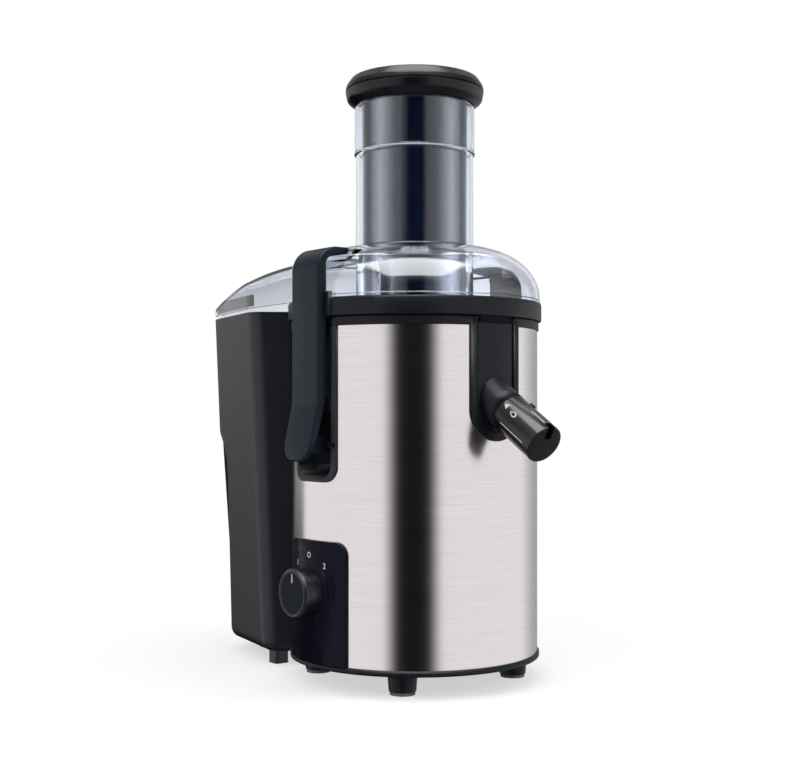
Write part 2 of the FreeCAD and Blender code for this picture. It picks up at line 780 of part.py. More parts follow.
def control_panel():
    inner = HOUSING_R - PANEL_DEPTH
    face = prism_y(panel_outline(0), -PANEL_R - OVER, -FAR)
    face = face.common(ring(SLEEVE_R + SEATING, PANEL_R, SLEEVE_Z0, PANEL_TOP + OVER))
    plug = prism_y(panel_outline(PANEL_PLUG), -PANEL_R, -FAR)
    plug = plug.common(ring(inner, SLEEVE_R + CLEAR, SLEEVE_Z0, PANEL_TOP))
    seat = rod_y(DIAL_SEAT_R, DIAL_SEAT_Y, -FAR, 0, DIAL_Z)
    seat = seat.cut(rod(inner, DIAL_Z - DIAL_SEAT_R - OVER, DIAL_Z + DIAL_SEAT_R + OVER))
    bore = rod_y(SWITCH_BUSH_R + FIT, DIAL_SEAT_Y - OVER, -FAR, 0, DIAL_Z)
    return fuse(face, plug, seat).cut(bore)


def rotary_switch():
    front = SWITCH_BACK_Y - SWITCH_DEPTH
    half = SWITCH_HALF
    case_view = rectangle(-half, half, DIAL_Z - half, DIAL_Z + half, SWITCH_CORNER)
    case = prism_y(case_view, front, SWITCH_BACK_Y)
    bush = rod_y(SWITCH_BUSH_R, DIAL_SEAT_Y + CLEAR, front + OVER, 0, DIAL_Z)
    bore = rod_y(SWITCH_SHAFT_R + FIT, DIAL_SEAT_Y - OVER, front + SWITCH_SHAFT_IN + OVER, 0, DIAL_Z)
    tabs = []
    for i in range(TAB_COUNT):
        x = TAB_PITCH * (i - (TAB_COUNT - 1) / 2)
        tabs.append(block(x - TAB_SHEET / 2, x + TAB_SHEET / 2, SWITCH_BACK_Y - OVER,
                          SWITCH_BACK_Y + TAB_LENGTH, DIAL_Z - TAB_HALF, DIAL_Z + TAB_HALF))
    return fuse(case, bush, *tabs).cut(bore)


def switch_shaft():
    inner_end = SWITCH_BACK_Y - SWITCH_DEPTH + SWITCH_SHAFT_IN
    return rod_y(SWITCH_SHAFT_R, KNOB_FACE_Y + SWITCH_SHAFT_TIP, inner_end, 0, DIAL_Z)


def knob_blank():
    # Turned about the dial's axis: a drum with a wider ring in front, a bevel and a shallow dished face.
    depth = DIAL_SEAT_Y - GAP - KNOB_FACE_Y
    ring_foot = depth - KNOB_RING
    face_r = KNOB_R - KNOB_BEVEL
    dish_r = face_r - 2 * KNOB_LAND
    drum = turned([(0, 0, 0), (KNOB_WAIST_R, 0, 0), (KNOB_WAIST_R, ring_foot, 0), (KNOB_R, ring_foot, GAP),
                   (KNOB_R, depth - KNOB_BEVEL, 0), (face_r, depth, 0), (face_r - KNOB_LAND, depth, 0),
                   (dish_r, depth - KNOB_DISH, 0), (0, depth - KNOB_DISH, 0)])
    drum.rotate(ORIGIN, Vec(1, 0, 0), 90.0)
    drum.translate(Vec(0, DIAL_SEAT_Y - GAP, DIAL_Z))
    return drum


def knob_pointer():
    # A narrow bar up the dished face of the dial, let into it.
    face = KNOB_FACE_Y + KNOB_DISH
    return block(-POINTER_HALF, POINTER_HALF, face - FIT, face + POINTER_DEPTH,
                 DIAL_Z + POINTER_R0, DIAL_Z + POINTER_R1)


def speed_knob():
    tip = KNOB_FACE_Y + SWITCH_SHAFT_TIP - SEATING
    bore = rod_y(SWITCH_SHAFT_R + FIT, tip, DIAL_SEAT_Y + OVER, 0, DIAL_Z)
    return knob_blank().cut([bore, knob_pointer()])


# Locking arms

def locking_arm(side):
    inner = ARM_FACE - ARM_THICK
    tail_in = ARM_TAIL_Y - ARM_TAIL_THICK
    tip_foot = ARM_TOP_Z - ARM_TIP_THICK
    strap = prism_x([(-ARM_TAIL_Y, ARM_TAIL_Z, ARM_TAIL_ROUND), (-ARM_FACE, ARM_BEND_Z, ARM_BEND_R),
                     (-ARM_FACE, ARM_TOP_Z, ARM_TOP_R), (-ARM_TIP_Y, ARM_TOP_Z, ARM_TIP_ROUND),
                     (-ARM_TIP_Y, tip_foot, ARM_TIP_EDGE), (-inner, tip_foot - ARM_TIP_FALL, ARM_UNDER_R),
                     (-inner, ARM_BEND_IN_Z, ARM_BEND_R), (-tail_in, ARM_TAIL_Z, ARM_TAIL_ROUND)],
                    -ARM_HALF, ARM_HALF)
    top = ARM_TOP_Z + OVER
    front_view = prism_y([(-ARM_HALF, ARM_TAIL_Z, ARM_TAIL_CORNER), (ARM_HALF, ARM_TAIL_Z, ARM_TAIL_CORNER),
                          (ARM_HALF, top, ARM_TOP_CORNER), (-ARM_HALF, top, ARM_TOP_CORNER)],
                         -ARM_TAIL_Y - OVER, -ARM_TIP_Y + OVER)
    strap = strap.common(front_view)
    barrel = rod_x(PIVOT_BARREL_R, -PIVOT_LUG_HALF, PIVOT_LUG_HALF, -PIVOT_Y, PIVOT_Z)
    web_top = PIVOT_Z + PIVOT_BARREL_R
    web_foot = PIVOT_Z - PIVOT_BARREL_R
    web = prism_x([(-PIVOT_Y, web_foot, 0), (-PIVOT_Y, web_top, 0), (-WEB_TOP_Y, web_top + WEB_RISE, 0),
                   (-WEB_FOOT_Y, web_foot, 0)], -PIVOT_LUG_HALF, PIVOT_LUG_HALF)
    arm = fuse(strap, barrel, web).cut(rod_x(PIN_R + FIT, -ARM_HALF, ARM_HALF, -PIVOT_Y, PIVOT_Z))
    return arm if side == FRONT else mirrored(arm)


# Filter bowl and spout

def tilted_floor(z):
    # Everything below a plane that falls towards the spout.
    wide = 2 * FAR
    slab = block(-wide, wide, -wide, wide, z - FAR, z)
    slab.rotate(Vec(0, 0, z), Vec(0, 1, 0), BOWL_FLOOR_FALL)
    return slab


def bowl_notch():
    # Room for a locking arm in the collar, between two guide ears.
    return block(-NOTCH_HALF, NOTCH_HALF, -COLLAR_R - OVER, -NOTCH_Y, COLLAR_Z0 - OVER, EAR_TOP + OVER)


def guide_ears():
    ear = block(NOTCH_HALF, NOTCH_HALF + EAR_WIDTH, -COLLAR_R + EAR_BACK, -NOTCH_Y - GAP,
                COLLAR_Z0, EAR_TOP)
    other = ear.mirror(ORIGIN, Vec(1, 0, 0))
    return [ear, other, mirrored(ear), mirrored(other)]


def filter_bowl():
    skirt_in = COLLAR_R - BOWL_SKIRT
    brim = COLLAR_Z1 - BOWL_BRIM
    above = COLLAR_Z1 + OVER
    cup = turned([(HUB_R, BOWL_FOOT_Z, 0), (BOWL_R, BOWL_FOOT_Z, 0), (BOWL_R, brim, 0), (skirt_in, brim, 0),
                  (skirt_in, COLLAR_Z0, 0), (COLLAR_R, COLLAR_Z0, COLLAR_FOOT_ROUND),
                  (COLLAR_R, COLLAR_Z1, COLLAR_TOP_ROUND), (HUB_R, COLLAR_Z1, 0)])
    cup = cup.cut(tilted_floor(BOWL_FLOOR_Z - BOWL_WALL - GAP))
    hub_out = HUB_R + BOWL_WALL
    hollow = ring(hub_out, BOWL_R - BOWL_WALL, BOWL_FOOT_Z, above).cut(tilted_floor(BOWL_FLOOR_Z))
    above_hub = rod(hub_out + OVER, HUB_TOP, above)
    core = rod(HUB_R, BOWL_FOOT_Z - OVER, above)
    notch = bowl_notch()
    bowl = fuse(cup, spout_plate(), *guide_ears())
    return bowl.cut([hollow, above_hub, spout_bore().cut(core), core, notch, mirrored(notch)])


def spout_bore():
    return spout_rod(SPOUT_BORE_R, SPOUT_LENGTH, -OVER)


def spout_plate():
    # The upright plate of the bowl that fills the slot in the housing; the rod's seam faces away from it.
    side_view = spout_slot_outline(SPOUT_PLATE_HALF, SPOUT_PLATE_Z0, COLLAR_Z0 + OVER)
    plate = prism_x(side_view, BOWL_R - SPOUT_PLATE_ROOT, BASE_R + OVER)
    face = rod(SPOUT_PLATE_R, SPOUT_PLATE_Z0, COLLAR_Z0 + OVER)
    face.rotate(ORIGIN, UP, 180.0)
    return plate.common(face)


def juice_spout():
    # The spout outside its plate: a flared root, a stub and the thinner tube that the nozzle turns on.
    stub_end = NOZZLE_LENGTH + GAP
    stub_back = stub_end + STUB_LENGTH
    root = spout_cone(STUB_ROOT_R, STUB_R, stub_end + STUB_ROOT_LENGTH, stub_back)
    stub = spout_rod(STUB_R, stub_back + OVER, stub_end)
    tube = spout_rod(SPOUT_TUBE_R, stub_back + OVER, NOZZLE_DISC + TUBE_SHORT)
    groove_r = SPOUT_TUBE_R - SPOUT_SEAL_DEPTH
    seal_front = SPOUT_SEAL_BACK - SPOUT_SEAL_WIDTH
    groove = spout_rod(SPOUT_TUBE_R + OVER, SPOUT_SEAL_BACK, seal_front)
    groove = groove.cut(spout_rod(groove_r, SPOUT_SEAL_BACK + OVER, seal_front - OVER))
    bowl_room = rod(BOWL_R, BENCH, COLLAR_Z1)
    return fuse(root, stub, tube).cut([spout_plate(), bowl_room, groove, spout_bore()])


def spout_seal():
    back = SPOUT_SEAL_BACK - SEATING
    front = SPOUT_SEAL_BACK - SPOUT_SEAL_WIDTH + SEATING
    seal = spout_rod(SPOUT_TUBE_R + SEAL_STAND, back, front)
    return seal.cut(spout_rod(SPOUT_TUBE_R - SPOUT_SEAL_DEPTH + FIT, back + OVER, front - OVER))


def nozzle_bump():
    # A small stud for the finger, upright on the nozzle's wall and a little to the rear of its top.
    tilt = math.radians(SPOUT_TILT)
    turn = math.radians(NOZZLE_BUMP_TURN)
    outwards = Vec(math.sin(tilt) * math.cos(turn), math.sin(turn), math.cos(tilt) * math.cos(turn))
    foot = NOZZLE_R - 2 * OVER
    return Part.makeCylinder(NOZZLE_BUMP_R, NOZZLE_BUMP_TOP - foot,
                             spout_axis(NOZZLE_BUMP_BACK) + outwards * foot, outwards)


def spout_nozzle():
    # A drip-stop cup that turns on the spout: its end disc has one notch, at the top while shut.
    shell = fuse(spout_rod(NOZZLE_R, NOZZLE_LENGTH, 0), nozzle_bump())
    hollow = spout_rod(SPOUT_TUBE_R + NOZZLE_FIT, NOZZLE_LENGTH + OVER, NOZZLE_DISC)
    half = NOZZLE_NOTCH_HALF
    notch = block(-FAR, FAR, -half, half, NOZZLE_NOTCH_FOOT, NOZZLE_R + OVER)
    notch.rotate(ORIGIN, Vec(0, 1, 0), SPOUT_TILT)
    notch.translate(spout_axis(0))
    notch = notch.common(spout_rod(NOZZLE_R + OVER, NOZZLE_DISC + half, -OVER))
    line_front = NOZZLE_LINE_BACK - NOZZLE_LINE_WIDTH
    line = spout_rod(NOZZLE_R + OVER, NOZZLE_LINE_BACK, line_front)
    line = line.cut(spout_rod(NOZZLE_R - NOZZLE_LINE_DEPTH, NOZZLE_LINE_BACK + OVER, line_front - OVER))
    return shell.cut([hollow, notch, line])


def shaft_seal():
    # A lip seal round the shaft, in the deck's dam.
    foot = DECK_Z + DECK_THICK + CLEAR
    lip_r = SHAFT_R + FIT
    return turned([(lip_r, foot, 0), (DAM_R0 - CLEAR, foot, 0), (DAM_R0 - CLEAR, SHAFT_SEAL_EDGE_Z, 0),
                   (SHAFT_SEAL_DIP_R, SHAFT_SEAL_DIP_Z, 0), (lip_r, SHAFT_SEAL_LIP_Z, 0)])


# Lid

def dome(depth):
    # The dome's solid: an upright rim and a quarter ellipse up to the chute, moved inwards by depth.
    radius = LID_R - depth
    top = DOME_TOP_Z - depth
    foot = COLLAR_Z1 - depth
    centre = Vec(CHUTE_R, 0, DOME_SPRING_Z)
    ellipse = Part.Ellipse(Vec(radius, 0, DOME_SPRING_Z), Vec(CHUTE_R, 0, top), centre)
    edges = [Part.ArcOfEllipse(ellipse, 0, math.pi / 2).toShape()]
    corners = [Vec(CHUTE_R, 0, top), Vec(0, 0, top), Vec(0, 0, foot), Vec(radius, 0, foot),
               Vec(radius, 0, DOME_SPRING_Z)]
    edges += [Part.makeLine(corners[i], corners[i + 1]) for i in range(len(corners) - 1)]
    section = Part.Face(Part.Wire(Part.sortEdges(edges)[0]))
    return upright(section.revolve(ORIGIN, UP, 360.0))


def hood_outline():
    half = [HOOD_JOIN + (0,), HOOD_FRONT + (0,), HOOD_SIDE + (HOOD_SIDE_R,), HOOD_BACK + (HOOD_BACK_R,)]
    return half + [(x, -y, radius) for x, y, radius in reversed(half)]


def hood(depth):
    # The hood's solid: walls that follow the bin's rim, under a roof curved both ways.
    walls = prism_z(inset(hood_outline(), depth), COLLAR_Z1 - depth, HOOD_ROOF_Z + OVER)
    axis_z = HOOD_ROOF_Z - HOOD_CROWN_R
    radius = HOOD_ROOF_R - depth
    far = -BIN_BACK - FAR
    ridge = []
    for x in (far, far / 2, 0.0):
        ridge.append(Vec(x, 0, HOOD_ROOF_Z - HOOD_ROOF_R + math.sqrt(radius ** 2 - x ** 2)))
    feet = [Vec(0, 0, axis_z), Vec(far, 0, axis_z)]
    edges = [Part.Arc(*ridge).toShape(), Part.makeLine(ridge[2], feet[0]), Part.makeLine(feet[0], feet[1]),
             Part.makeLine(feet[1], ridge[0])]
    roof = Part.Face(Part.Wire(edges)).revolve(Vec(0, 0, axis_z), Vec(1, 0, 0), 360.0)
    return walls.common(upright(roof))


def hook_pocket(depth):
    # Room for the arm's hook in the dome's shoulder and for its strap in the rim.
    half = LID_POCKET_HALF + depth
    reach = LID_R + OVER
    above = DOME_TOP_Z + OVER
    top = block(-half, half, -reach, -HOOK_POCKET_Y + depth, HOOK_POCKET_Z - depth, above)
    side = block(-half, half, -reach, -NOTCH_Y - CLEAR + depth, LID_POCKET_FOOT, DOME_TOP_Z)
    return top.fuse(side)


def lid():
    shell = fuse(dome(0), hood(0))
    hollow = fuse(dome(LID_WALL), hood(LID_WALL))
    pockets = [hook_pocket(0), mirrored(hook_pocket(0))]
    backing = [hook_pocket(LID_WALL), mirrored(hook_pocket(LID_WALL))]
    hollow = hollow.cut(backing)
    mouth = rod(CHUTE_R + FIT, CHUTE_END_Z, DOME_TOP_Z + OVER)
    return shell.cut(pockets).cut([hollow, mouth])


def feed_chute():
    # The tube of the lid, with a bead at its step and a flared foot that runs out on the dome.
    bead_foot = CHUTE_BEAD_Z - CHUTE_BEAD / 2
    bead_top = CHUTE_BEAD_Z + CHUTE_BEAD / 2
    chute = turned([(CHUTE_BORE_R, CHUTE_END_Z, 0), (CHUTE_R, CHUTE_END_Z, 0),
                    (CHUTE_R, CHUTE_STRAIGHT_Z, 0), (CHUTE_NECK_R, bead_foot - GAP, 0),
                    (CHUTE_BEAD_R, bead_foot, 0),
                    (CHUTE_BEAD_R, bead_top, 0), (CHUTE_TOP_R, bead_top + GAP, 0),
                    (CHUTE_TOP_R, CHUTE_TOP_Z, CHUTE_TOP_ROUND), (CHUTE_TOP_BORE_R, CHUTE_TOP_Z, 0),
                    (CHUTE_TOP_BORE_R, CHUTE_BEAD_Z, 0), (CHUTE_BORE_R, CHUTE_BEAD_Z - CHUTE_STEP, 0)])
    inside = CHUTE_R - GAP
    foot = turned([(inside, CHUTE_FOOT_Z0, 0), (CHUTE_R + CHUTE_FOOT, CHUTE_FOOT_Z0, 0),
                   (inside, CHUTE_FOOT_Z1, 0)])
    return fuse(chute, foot.cut(dome(0)))


def hood_seal():
    # A dark strip inside the hood's skirt, round the outer end.
    foot = HOOD_SEAL_Z0 - OVER
    top = HOOD_SEAL_Z1 + OVER
    outer = prism_z(inset(hood_outline(), LID_WALL + SEATING), HOOD_SEAL_Z0, HOOD_SEAL_Z1)
    inner = prism_z(inset(hood_outline(), LID_WALL + HOOD_SEAL_THICK), foot, top)
    dome_side = block(HOOD_SEAL_X, 0, -LID_R, LID_R, foot, top)
    return outer.cut([inner, dome_side]).common(hood(LID_WALL + FIT))


# Food pusher

def pusher_body():
    inner = PUSHER_R - PUSHER_WALL
    floor_top = PUSHER_Z0 + PUSHER_WALL
    return turned([(0, PUSHER_Z0, 0), (PUSHER_R, PUSHER_Z0, PUSHER_FOOT_R), (PUSHER_R, PUSHER_Z1, 0),
                   (inner, PUSHER_Z1, 0), (inner, floor_top, 0), (0, floor_top, 0)])


def pusher_cap():
    # Turned: a rounded rim with a seam groove at its widest, a crowned top and a ring-shaped underside.
    neck = PUSHER_R + SEATING
    plug = PUSHER_Z1 + SEATING
    return turned([(0, plug, 0), (neck, plug, 0), (neck, CAP_Z0, 0), (CAP_FOOT_R, CAP_Z0, CAP_FOOT_ROUND),
                   (CAP_BULGE_R, CAP_BULGE_Z, CAP_BULGE_ROUND), (CAP_R, CAP_SEAM_Z - CAP_SEAM, CLEAR),
                   (CAP_R - CAP_SEAM_DEPTH, CAP_SEAM_Z, 0), (CAP_R, CAP_SEAM_Z + CAP_SEAM, CLEAR),
                   (CAP_SHOULDER_R, CAP_SHOULDER_Z, CAP_SHOULDER_ROUND),
                   (CAP_RIM_R, CAP_RIM_Z, CAP_RIM_ROUND), (CAP_CROWN_R, CAP_CROWN_Z, CAP_CROWN_ROUND),
                   (0, CAP_TOP_Z, 0)])


# Pulp bin

def bin_outline(z, back_r):
    # Plan of the bin at a height: cheeks beside the motor base, tapering sides and a rounded back.
    share = (z - BIN_FLOOR_Z) / (BIN_RIM_Z - BIN_FLOOR_Z)

    def between(foot, rim):
        return foot + (rim - foot) * share

    front = (-BIN_FRONT, -between(BIN_FRONT_HALF_FOOT, BIN_FRONT_HALF), 0)
    cheek_half = between(BIN_CHEEK_HALF_FOOT, BIN_CHEEK_HALF)
    cheek = (-between(BIN_CHEEK_FOOT, BIN_CHEEK), -cheek_half, BIN_CHEEK_R)
    back_half = between(BIN_BACK_HALF_FOOT, BIN_BACK_HALF)
    back = (-between(BIN_BACK_FOOT, BIN_BACK), -back_half, back_r)
    half = [front, cheek, back]
    return half + [(x, -y, radius) for x, y, radius in reversed(half)]


def bin_section(z, depth, back_r):
    return rounded(inset(bin_outline(z, back_r), depth), lambda x, y: Vec(x, y, z))


def bin_loft(z0, z1, depth, lean, back_r):
    # Ruled through a quarter-round of sections at the foot, then straight up to the top. The foot is
    # moved inwards by lean, the top is not.
    edge = BIN_EDGE_R - depth
    sections = []
    for i in range(BIN_EDGE_STEPS):
        turn = math.radians(90.0 * i / (BIN_EDGE_STEPS - 1))
        rise = edge * (1 - math.cos(turn))
        run = edge * (1 - math.sin(turn))
        sections.append(bin_section(z0 + rise, depth + lean + run, back_r))
    sections.append(bin_section(z1, depth, back_r))
    return upright(Part.makeLoft(sections, True, True))


def bin_grip(depth):
    # The finger hold in the back: below a swept edge the wall leans in to the foot, on rounder corners.
    top = GRIP_TOP_Z + depth
    edge = GRIP_X + depth
    far = -BIN_BACK - FAR
    keep = bin_loft(BIN_FLOOR_Z + depth, top, depth, GRIP_LEAN, GRIP_CORNER_R)
    side_view = [(far, BENCH, 0), (edge, BENCH, 0), (edge, top, GRIP_SWEEP_R + depth), (far, top, 0)]
    return prism_y(side_view, -BIN_CHEEK, BIN_CHEEK).cut(keep)


def bin_solid(z1, depth):
    nest = rod(BIN_NEST_R + depth, BENCH, z1 + OVER)
    return bin_loft(BIN_FLOOR_Z + depth, z1, depth, 0, BIN_BACK_R).cut([nest, bin_grip(depth)])


def pulp_bin():
    legs = []
    for x, y in ((LEG_X, LEG_Y), (BACK_LEG_X, BACK_LEG_Y)):
        for middle in (-y, y):
            foot = rectangle(x - LEG_HALF, x + LEG_HALF, middle - LEG_HALF, middle + LEG_HALF, LEG_CORNER)
            legs.append(prism_z(foot, BENCH, BIN_FLOOR_Z + LEG_ROOT))
    return fuse(bin_solid(BIN_RIM_Z, 0), *legs).cut(bin_solid(BIN_RIM_Z + OVER, BIN_WALL))


# Motor

def bolt_places():
    return [(x, y) for x in (-BOLT_OFFSET, BOLT_OFFSET) for y in (-BOLT_OFFSET, BOLT_OFFSET)]


def motor_stator():
    z0 = STATOR_Z0 - OVER
    z1 = STATOR_Z1 + OVER
    bore_r = ARMATURE_R + AIR_GAP
    frame_view = rectangle(-STATOR_HALF, STATOR_HALF, -STATOR_HALF, STATOR_HALF, STATOR_CORNER)
    frame = prism_z(frame_view, STATOR_Z0, STATOR_Z1)
    # Two winding windows leave a pole on each side of the bore.
    holes = [rod(bore_r, z0, z1)]
    for middle in (-90.0, 90.0):
        slice_of_window = sector(FAR, z0, z1, middle, STATOR_WINDOW_HALF_ANGLE)
        holes.append(ring(bore_r, STATOR_WINDOW_R, z0, z1).common(slice_of_window))
    holes += [rod(BOLT_R + GAP, z0, z1, x, y) for x, y in bolt_places()]
    return frame.cut(holes)


def stator_coils():
    # One coil round each pole: its sides lie in the windows and its ends arch over the stack.
    z0 = STATOR_Z0 - COIL_END
    z1 = STATOR_Z1 + COIL_END
    stack_z0 = STATOR_Z0 - GAP
    stack_z1 = STATOR_Z1 + GAP
    coils = []
    for middle in (0.0, 180.0):
        coil = ring(COIL_R0, COIL_R1, z0, z1).common(sector(FAR, z0, z1, middle, COIL_HALF_ANGLE))
        pole = ring(ARMATURE_R, STATOR_HALF, stack_z0, stack_z1)
        pole = pole.common(sector(FAR, stack_z0, stack_z1, middle, COIL_POLE_HALF_ANGLE))
        coils.append(coil.cut(pole))
    return Part.makeCompound(coils)


def bracket(z0, seat_z0):
    # A bearing bracket: a bored cup on a four-armed plate.
    z1 = z0 + BRACKET_THICK
    seat_z1 = seat_z0 + BEARING_WIDTH
    bar = block(-BRACKET_R, BRACKET_R, -BRACKET_HALF, BRACKET_HALF, z0, z1)
    cup = rod(BEARING_R + BRACKET_CUP, min(z0, seat_z0), max(z1, seat_z1))
    holes = [rod(BOLT_R + FIT, z0 - OVER, z1 + OVER, x, y) for x, y in bolt_places()]
    holes.append(rod(BEARING_R + FIT, seat_z0, seat_z1))
    holes.append(rod(BRACKET_BORE_R, BENCH, COLLAR_Z1))
    return fuse(cup, *around(bar, BRACKET_BARS, BRACKET_START)).cut(holes)


def bearing(z):
    return ring(SHAFT_R + FIT, BEARING_R, z, z + BEARING_WIDTH)


def motor_bolts():
    nut_foot = UPPER_PLATE_Z + BRACKET_THICK
    foot = LOWER_PLATE_Z - BOLT_HEAD
    top = nut_foot + BOLT_HEAD
    bolts = []
    for x, y in bolt_places():
        shank = rod(BOLT_R, foot, top, x, y)
        head = rod(BOLT_HEAD_R, foot, LOWER_PLATE_Z, x, y)
        nut = rod(BOLT_HEAD_R, nut_foot, top, x, y)
        bolts.append(fuse(shank, head, nut))
    return Part.makeCompound(bolts)


def motor_mounts():
    # Rubber buffers between the upper bracket's arms and the deck.
    foot = UPPER_PLATE_Z + BRACKET_THICK
    waist = (foot + DECK_Z) / 2
    mount = turned([(0, foot, 0), (MOUNT_R, foot, 0), (MOUNT_R, foot + MOUNT_FLANGE, 0),
                    (MOUNT_WAIST_R, waist, 0), (MOUNT_R, DECK_Z - MOUNT_FLANGE, 0),
                    (MOUNT_R, DECK_Z, 0), (0, DECK_Z, 0)])
    mount.translate(Vec(MOUNT_CIRCLE, 0, 0))
    return Part.makeCompound(around(mount, MOUNT_COUNT, BRACKET_START))


def brush_middle():
    return (COMMUTATOR_Z0 + COMMUTATOR_Z1) / 2


def brush_holders():
    middle = brush_middle()
    room = BRUSH_HALF + FIT
    holder = block(HOLDER_R0, HOLDER_R1, -HOLDER_HALF, HOLDER_HALF,
                   LOWER_PLATE_Z + BRACKET_THICK, middle + HOLDER_HALF)
    slide = block(HOLDER_R0 - OVER, HOLDER_R1 - HOLDER_END, -room, room, middle - room, middle + room)
    cup = rod(BEARING_R + BRACKET_CUP + CLEAR, LOWER_PLATE_Z, LOWER_BEARING_Z + BEARING_WIDTH + CLEAR)
    return Part.makeCompound(around(holder.cut([slide, cup]), BRUSH_COUNT))


def carbon_brushes():
    middle = brush_middle()
    brush = block(COMMUTATOR_R - OVER, BRUSH_BACK, -BRUSH_HALF, BRUSH_HALF,
                  middle - BRUSH_HALF, middle + BRUSH_HALF)
    brush = brush.cut(rod(COMMUTATOR_R + GAP, COMMUTATOR_Z0, COMMUTATOR_Z1))
    return Part.makeCompound(around(brush, BRUSH_COUNT))


def interlock_switches():
    # Sealed microswitches behind the wells, one for each arm.
    y_out = -WELL_DEEP_Y + WELL_WALL + GAP
    y_in = y_out + INTERLOCK_DEPTH
    case = block(-INTERLOCK_HALF, INTERLOCK_HALF, y_out, y_in, INTERLOCK_Z0, INTERLOCK_Z1)
    tabs = []
    for x in (-INTERLOCK_TAB_PITCH, 0.0, INTERLOCK_TAB_PITCH):
        tabs.append(block(x - TAB_SHEET / 2, x + TAB_SHEET / 2, y_in - OVER, y_in + INTERLOCK_TAB,
                          INTERLOCK_Z0 + TAB_HALF, INTERLOCK_Z1 - TAB_HALF))
    switch = fuse(case, *tabs)
    return Part.makeCompound([switch, mirrored(switch)])


def suppression_capacitor():
    plan = rectangle(CAPACITOR_X0, CAPACITOR_X1, -CAPACITOR_HALF, CAPACITOR_HALF, CAPACITOR_CORNER)
    return prism_z(plan, BASE_Z + BASE_FLOOR + CLEAR, CAPACITOR_TOP)


# Rotor

def motor_shaft():
    flat_z0 = SHAFT_Z1 - SHAFT_FLAT_LENGTH
    flat = block(SHAFT_R - SHAFT_FLAT, SHAFT_R + OVER, -SHAFT_R, SHAFT_R, flat_z0, SHAFT_Z1 + OVER)
    return rod(SHAFT_R, SHAFT_Z0, SHAFT_Z1).cut(flat)


def armature_core():
    z0 = STATOR_Z0 - OVER
    z1 = STATOR_Z1 + OVER
    half = ARMATURE_SLOT_MOUTH / 2
    mouth = block(ARMATURE_SLOT_R, ARMATURE_R + OVER, -half, half, z0, z1)
    slot = mouth.fuse(rod(ARMATURE_SLOT_ROUND, z0, z1, ARMATURE_SLOT_R, 0))
    return ring(SHAFT_R + FIT, ARMATURE_R, STATOR_Z0, STATOR_Z1).cut(around(slot, ARMATURE_SLOTS))


def armature_windings():
    inner = SHAFT_R + OVER
    ends = []
    for z, way in ((STATOR_Z1 + SEATING, 1), (STATOR_Z0 - SEATING, -1)):
        ends.append(turned([(inner, z, 0), (WINDING_R, z, 0), (WINDING_END_R, z + way * WINDING_EDGE, 0),
                            (inner, z + way * WINDING_HEIGHT, 0)]))
    return Part.makeCompound(ends)


def commutator():
    body = ring(SHAFT_R + FIT, COMMUTATOR_R, COMMUTATOR_Z0, COMMUTATOR_Z1)
    half = COMMUTATOR_SLIT / 2
    slit = block(COMMUTATOR_R - COMMUTATOR_SLIT_DEPTH, COMMUTATOR_R + OVER, -half, half,
                 COMMUTATOR_Z0 - OVER, COMMUTATOR_Z1 + OVER)
    return body.cut(around(slit, COMMUTATOR_BARS))


def cooling_fan():
    # A plate with curved blades: each is a short arc of a thin ring that stands off the axis.
    top = FAN_Z0 + FAN_BLADE_HEIGHT
    hub = ring(SHAFT_R + FIT, FAN_HUB_R, FAN_Z0, top)
    plate = ring(SHAFT_R + FIT, FAN_R, FAN_Z0, FAN_Z0 + FAN_PLATE)
    blade = ring(FAN_BLADE_CURVE, FAN_BLADE_CURVE + FAN_BLADE_SHEET, FAN_Z0, top, *FAN_BLADE_CENTRE)
    blade = blade.common(ring(FAN_HUB_R - OVER, FAN_R, FAN_Z0, top))
    blade = blade.common(block(0, FAR, -FAR, FAR, FAN_Z0, top))
    blade = max(blade.Solids, key=lambda piece: piece.Volume)
    return fuse(hub, plate, *around(blade, FAN_BLADES))


def drive_coupling():
    bore_r = SHAFT_R + FIT
    shaft_end = SHAFT_Z1 + FIT
    drum = turned([(bore_r, COUPLING_Z0, 0), (COUPLING_R, COUPLING_Z0, 0),
                   (COUPLING_R, COUPLING_Z1, COUPLING_ROUND), (0, COUPLING_Z1, 0),
                   (0, shaft_end, 0), (bore_r, shaft_end, 0)])
    flute = rod(COUPLING_FLUTE_R, COUPLING_Z0 + COUPLING_FOOT, COUPLING_Z1 + OVER, COUPLING_LUG_CIRCLE, 0)
    return drum.cut(around(flute, COUPLING_LUGS))


def filter_hub():
    # The basket's moulded foot: a cup that drops over the coupling, with lugs in its flutes.
    bore_r = COUPLING_R + HUB_GAP
    roof = COUPLING_Z1 + HUB_GAP
    cup = turned([(bore_r, HUB_CUP_Z0, 0), (HUB_CUP_R, HUB_CUP_Z0, 0), (HUB_CUP_R, GRATER_Z - HUB_FLARE, 0),
                  (HUB_EDGE_R, GRATER_Z - HUB_EDGE, 0), (HUB_TOP_R, GRATER_Z, 0),
                  (0, GRATER_Z, 0), (0, roof, 0), (bore_r, roof, 0)])
    lug = rod(COUPLING_LUG_R, HUB_CUP_Z0, COUPLING_Z1 + OVER, COUPLING_LUG_CIRCLE, 0)
    return fuse(cup, *around(lug, COUPLING_LUGS))


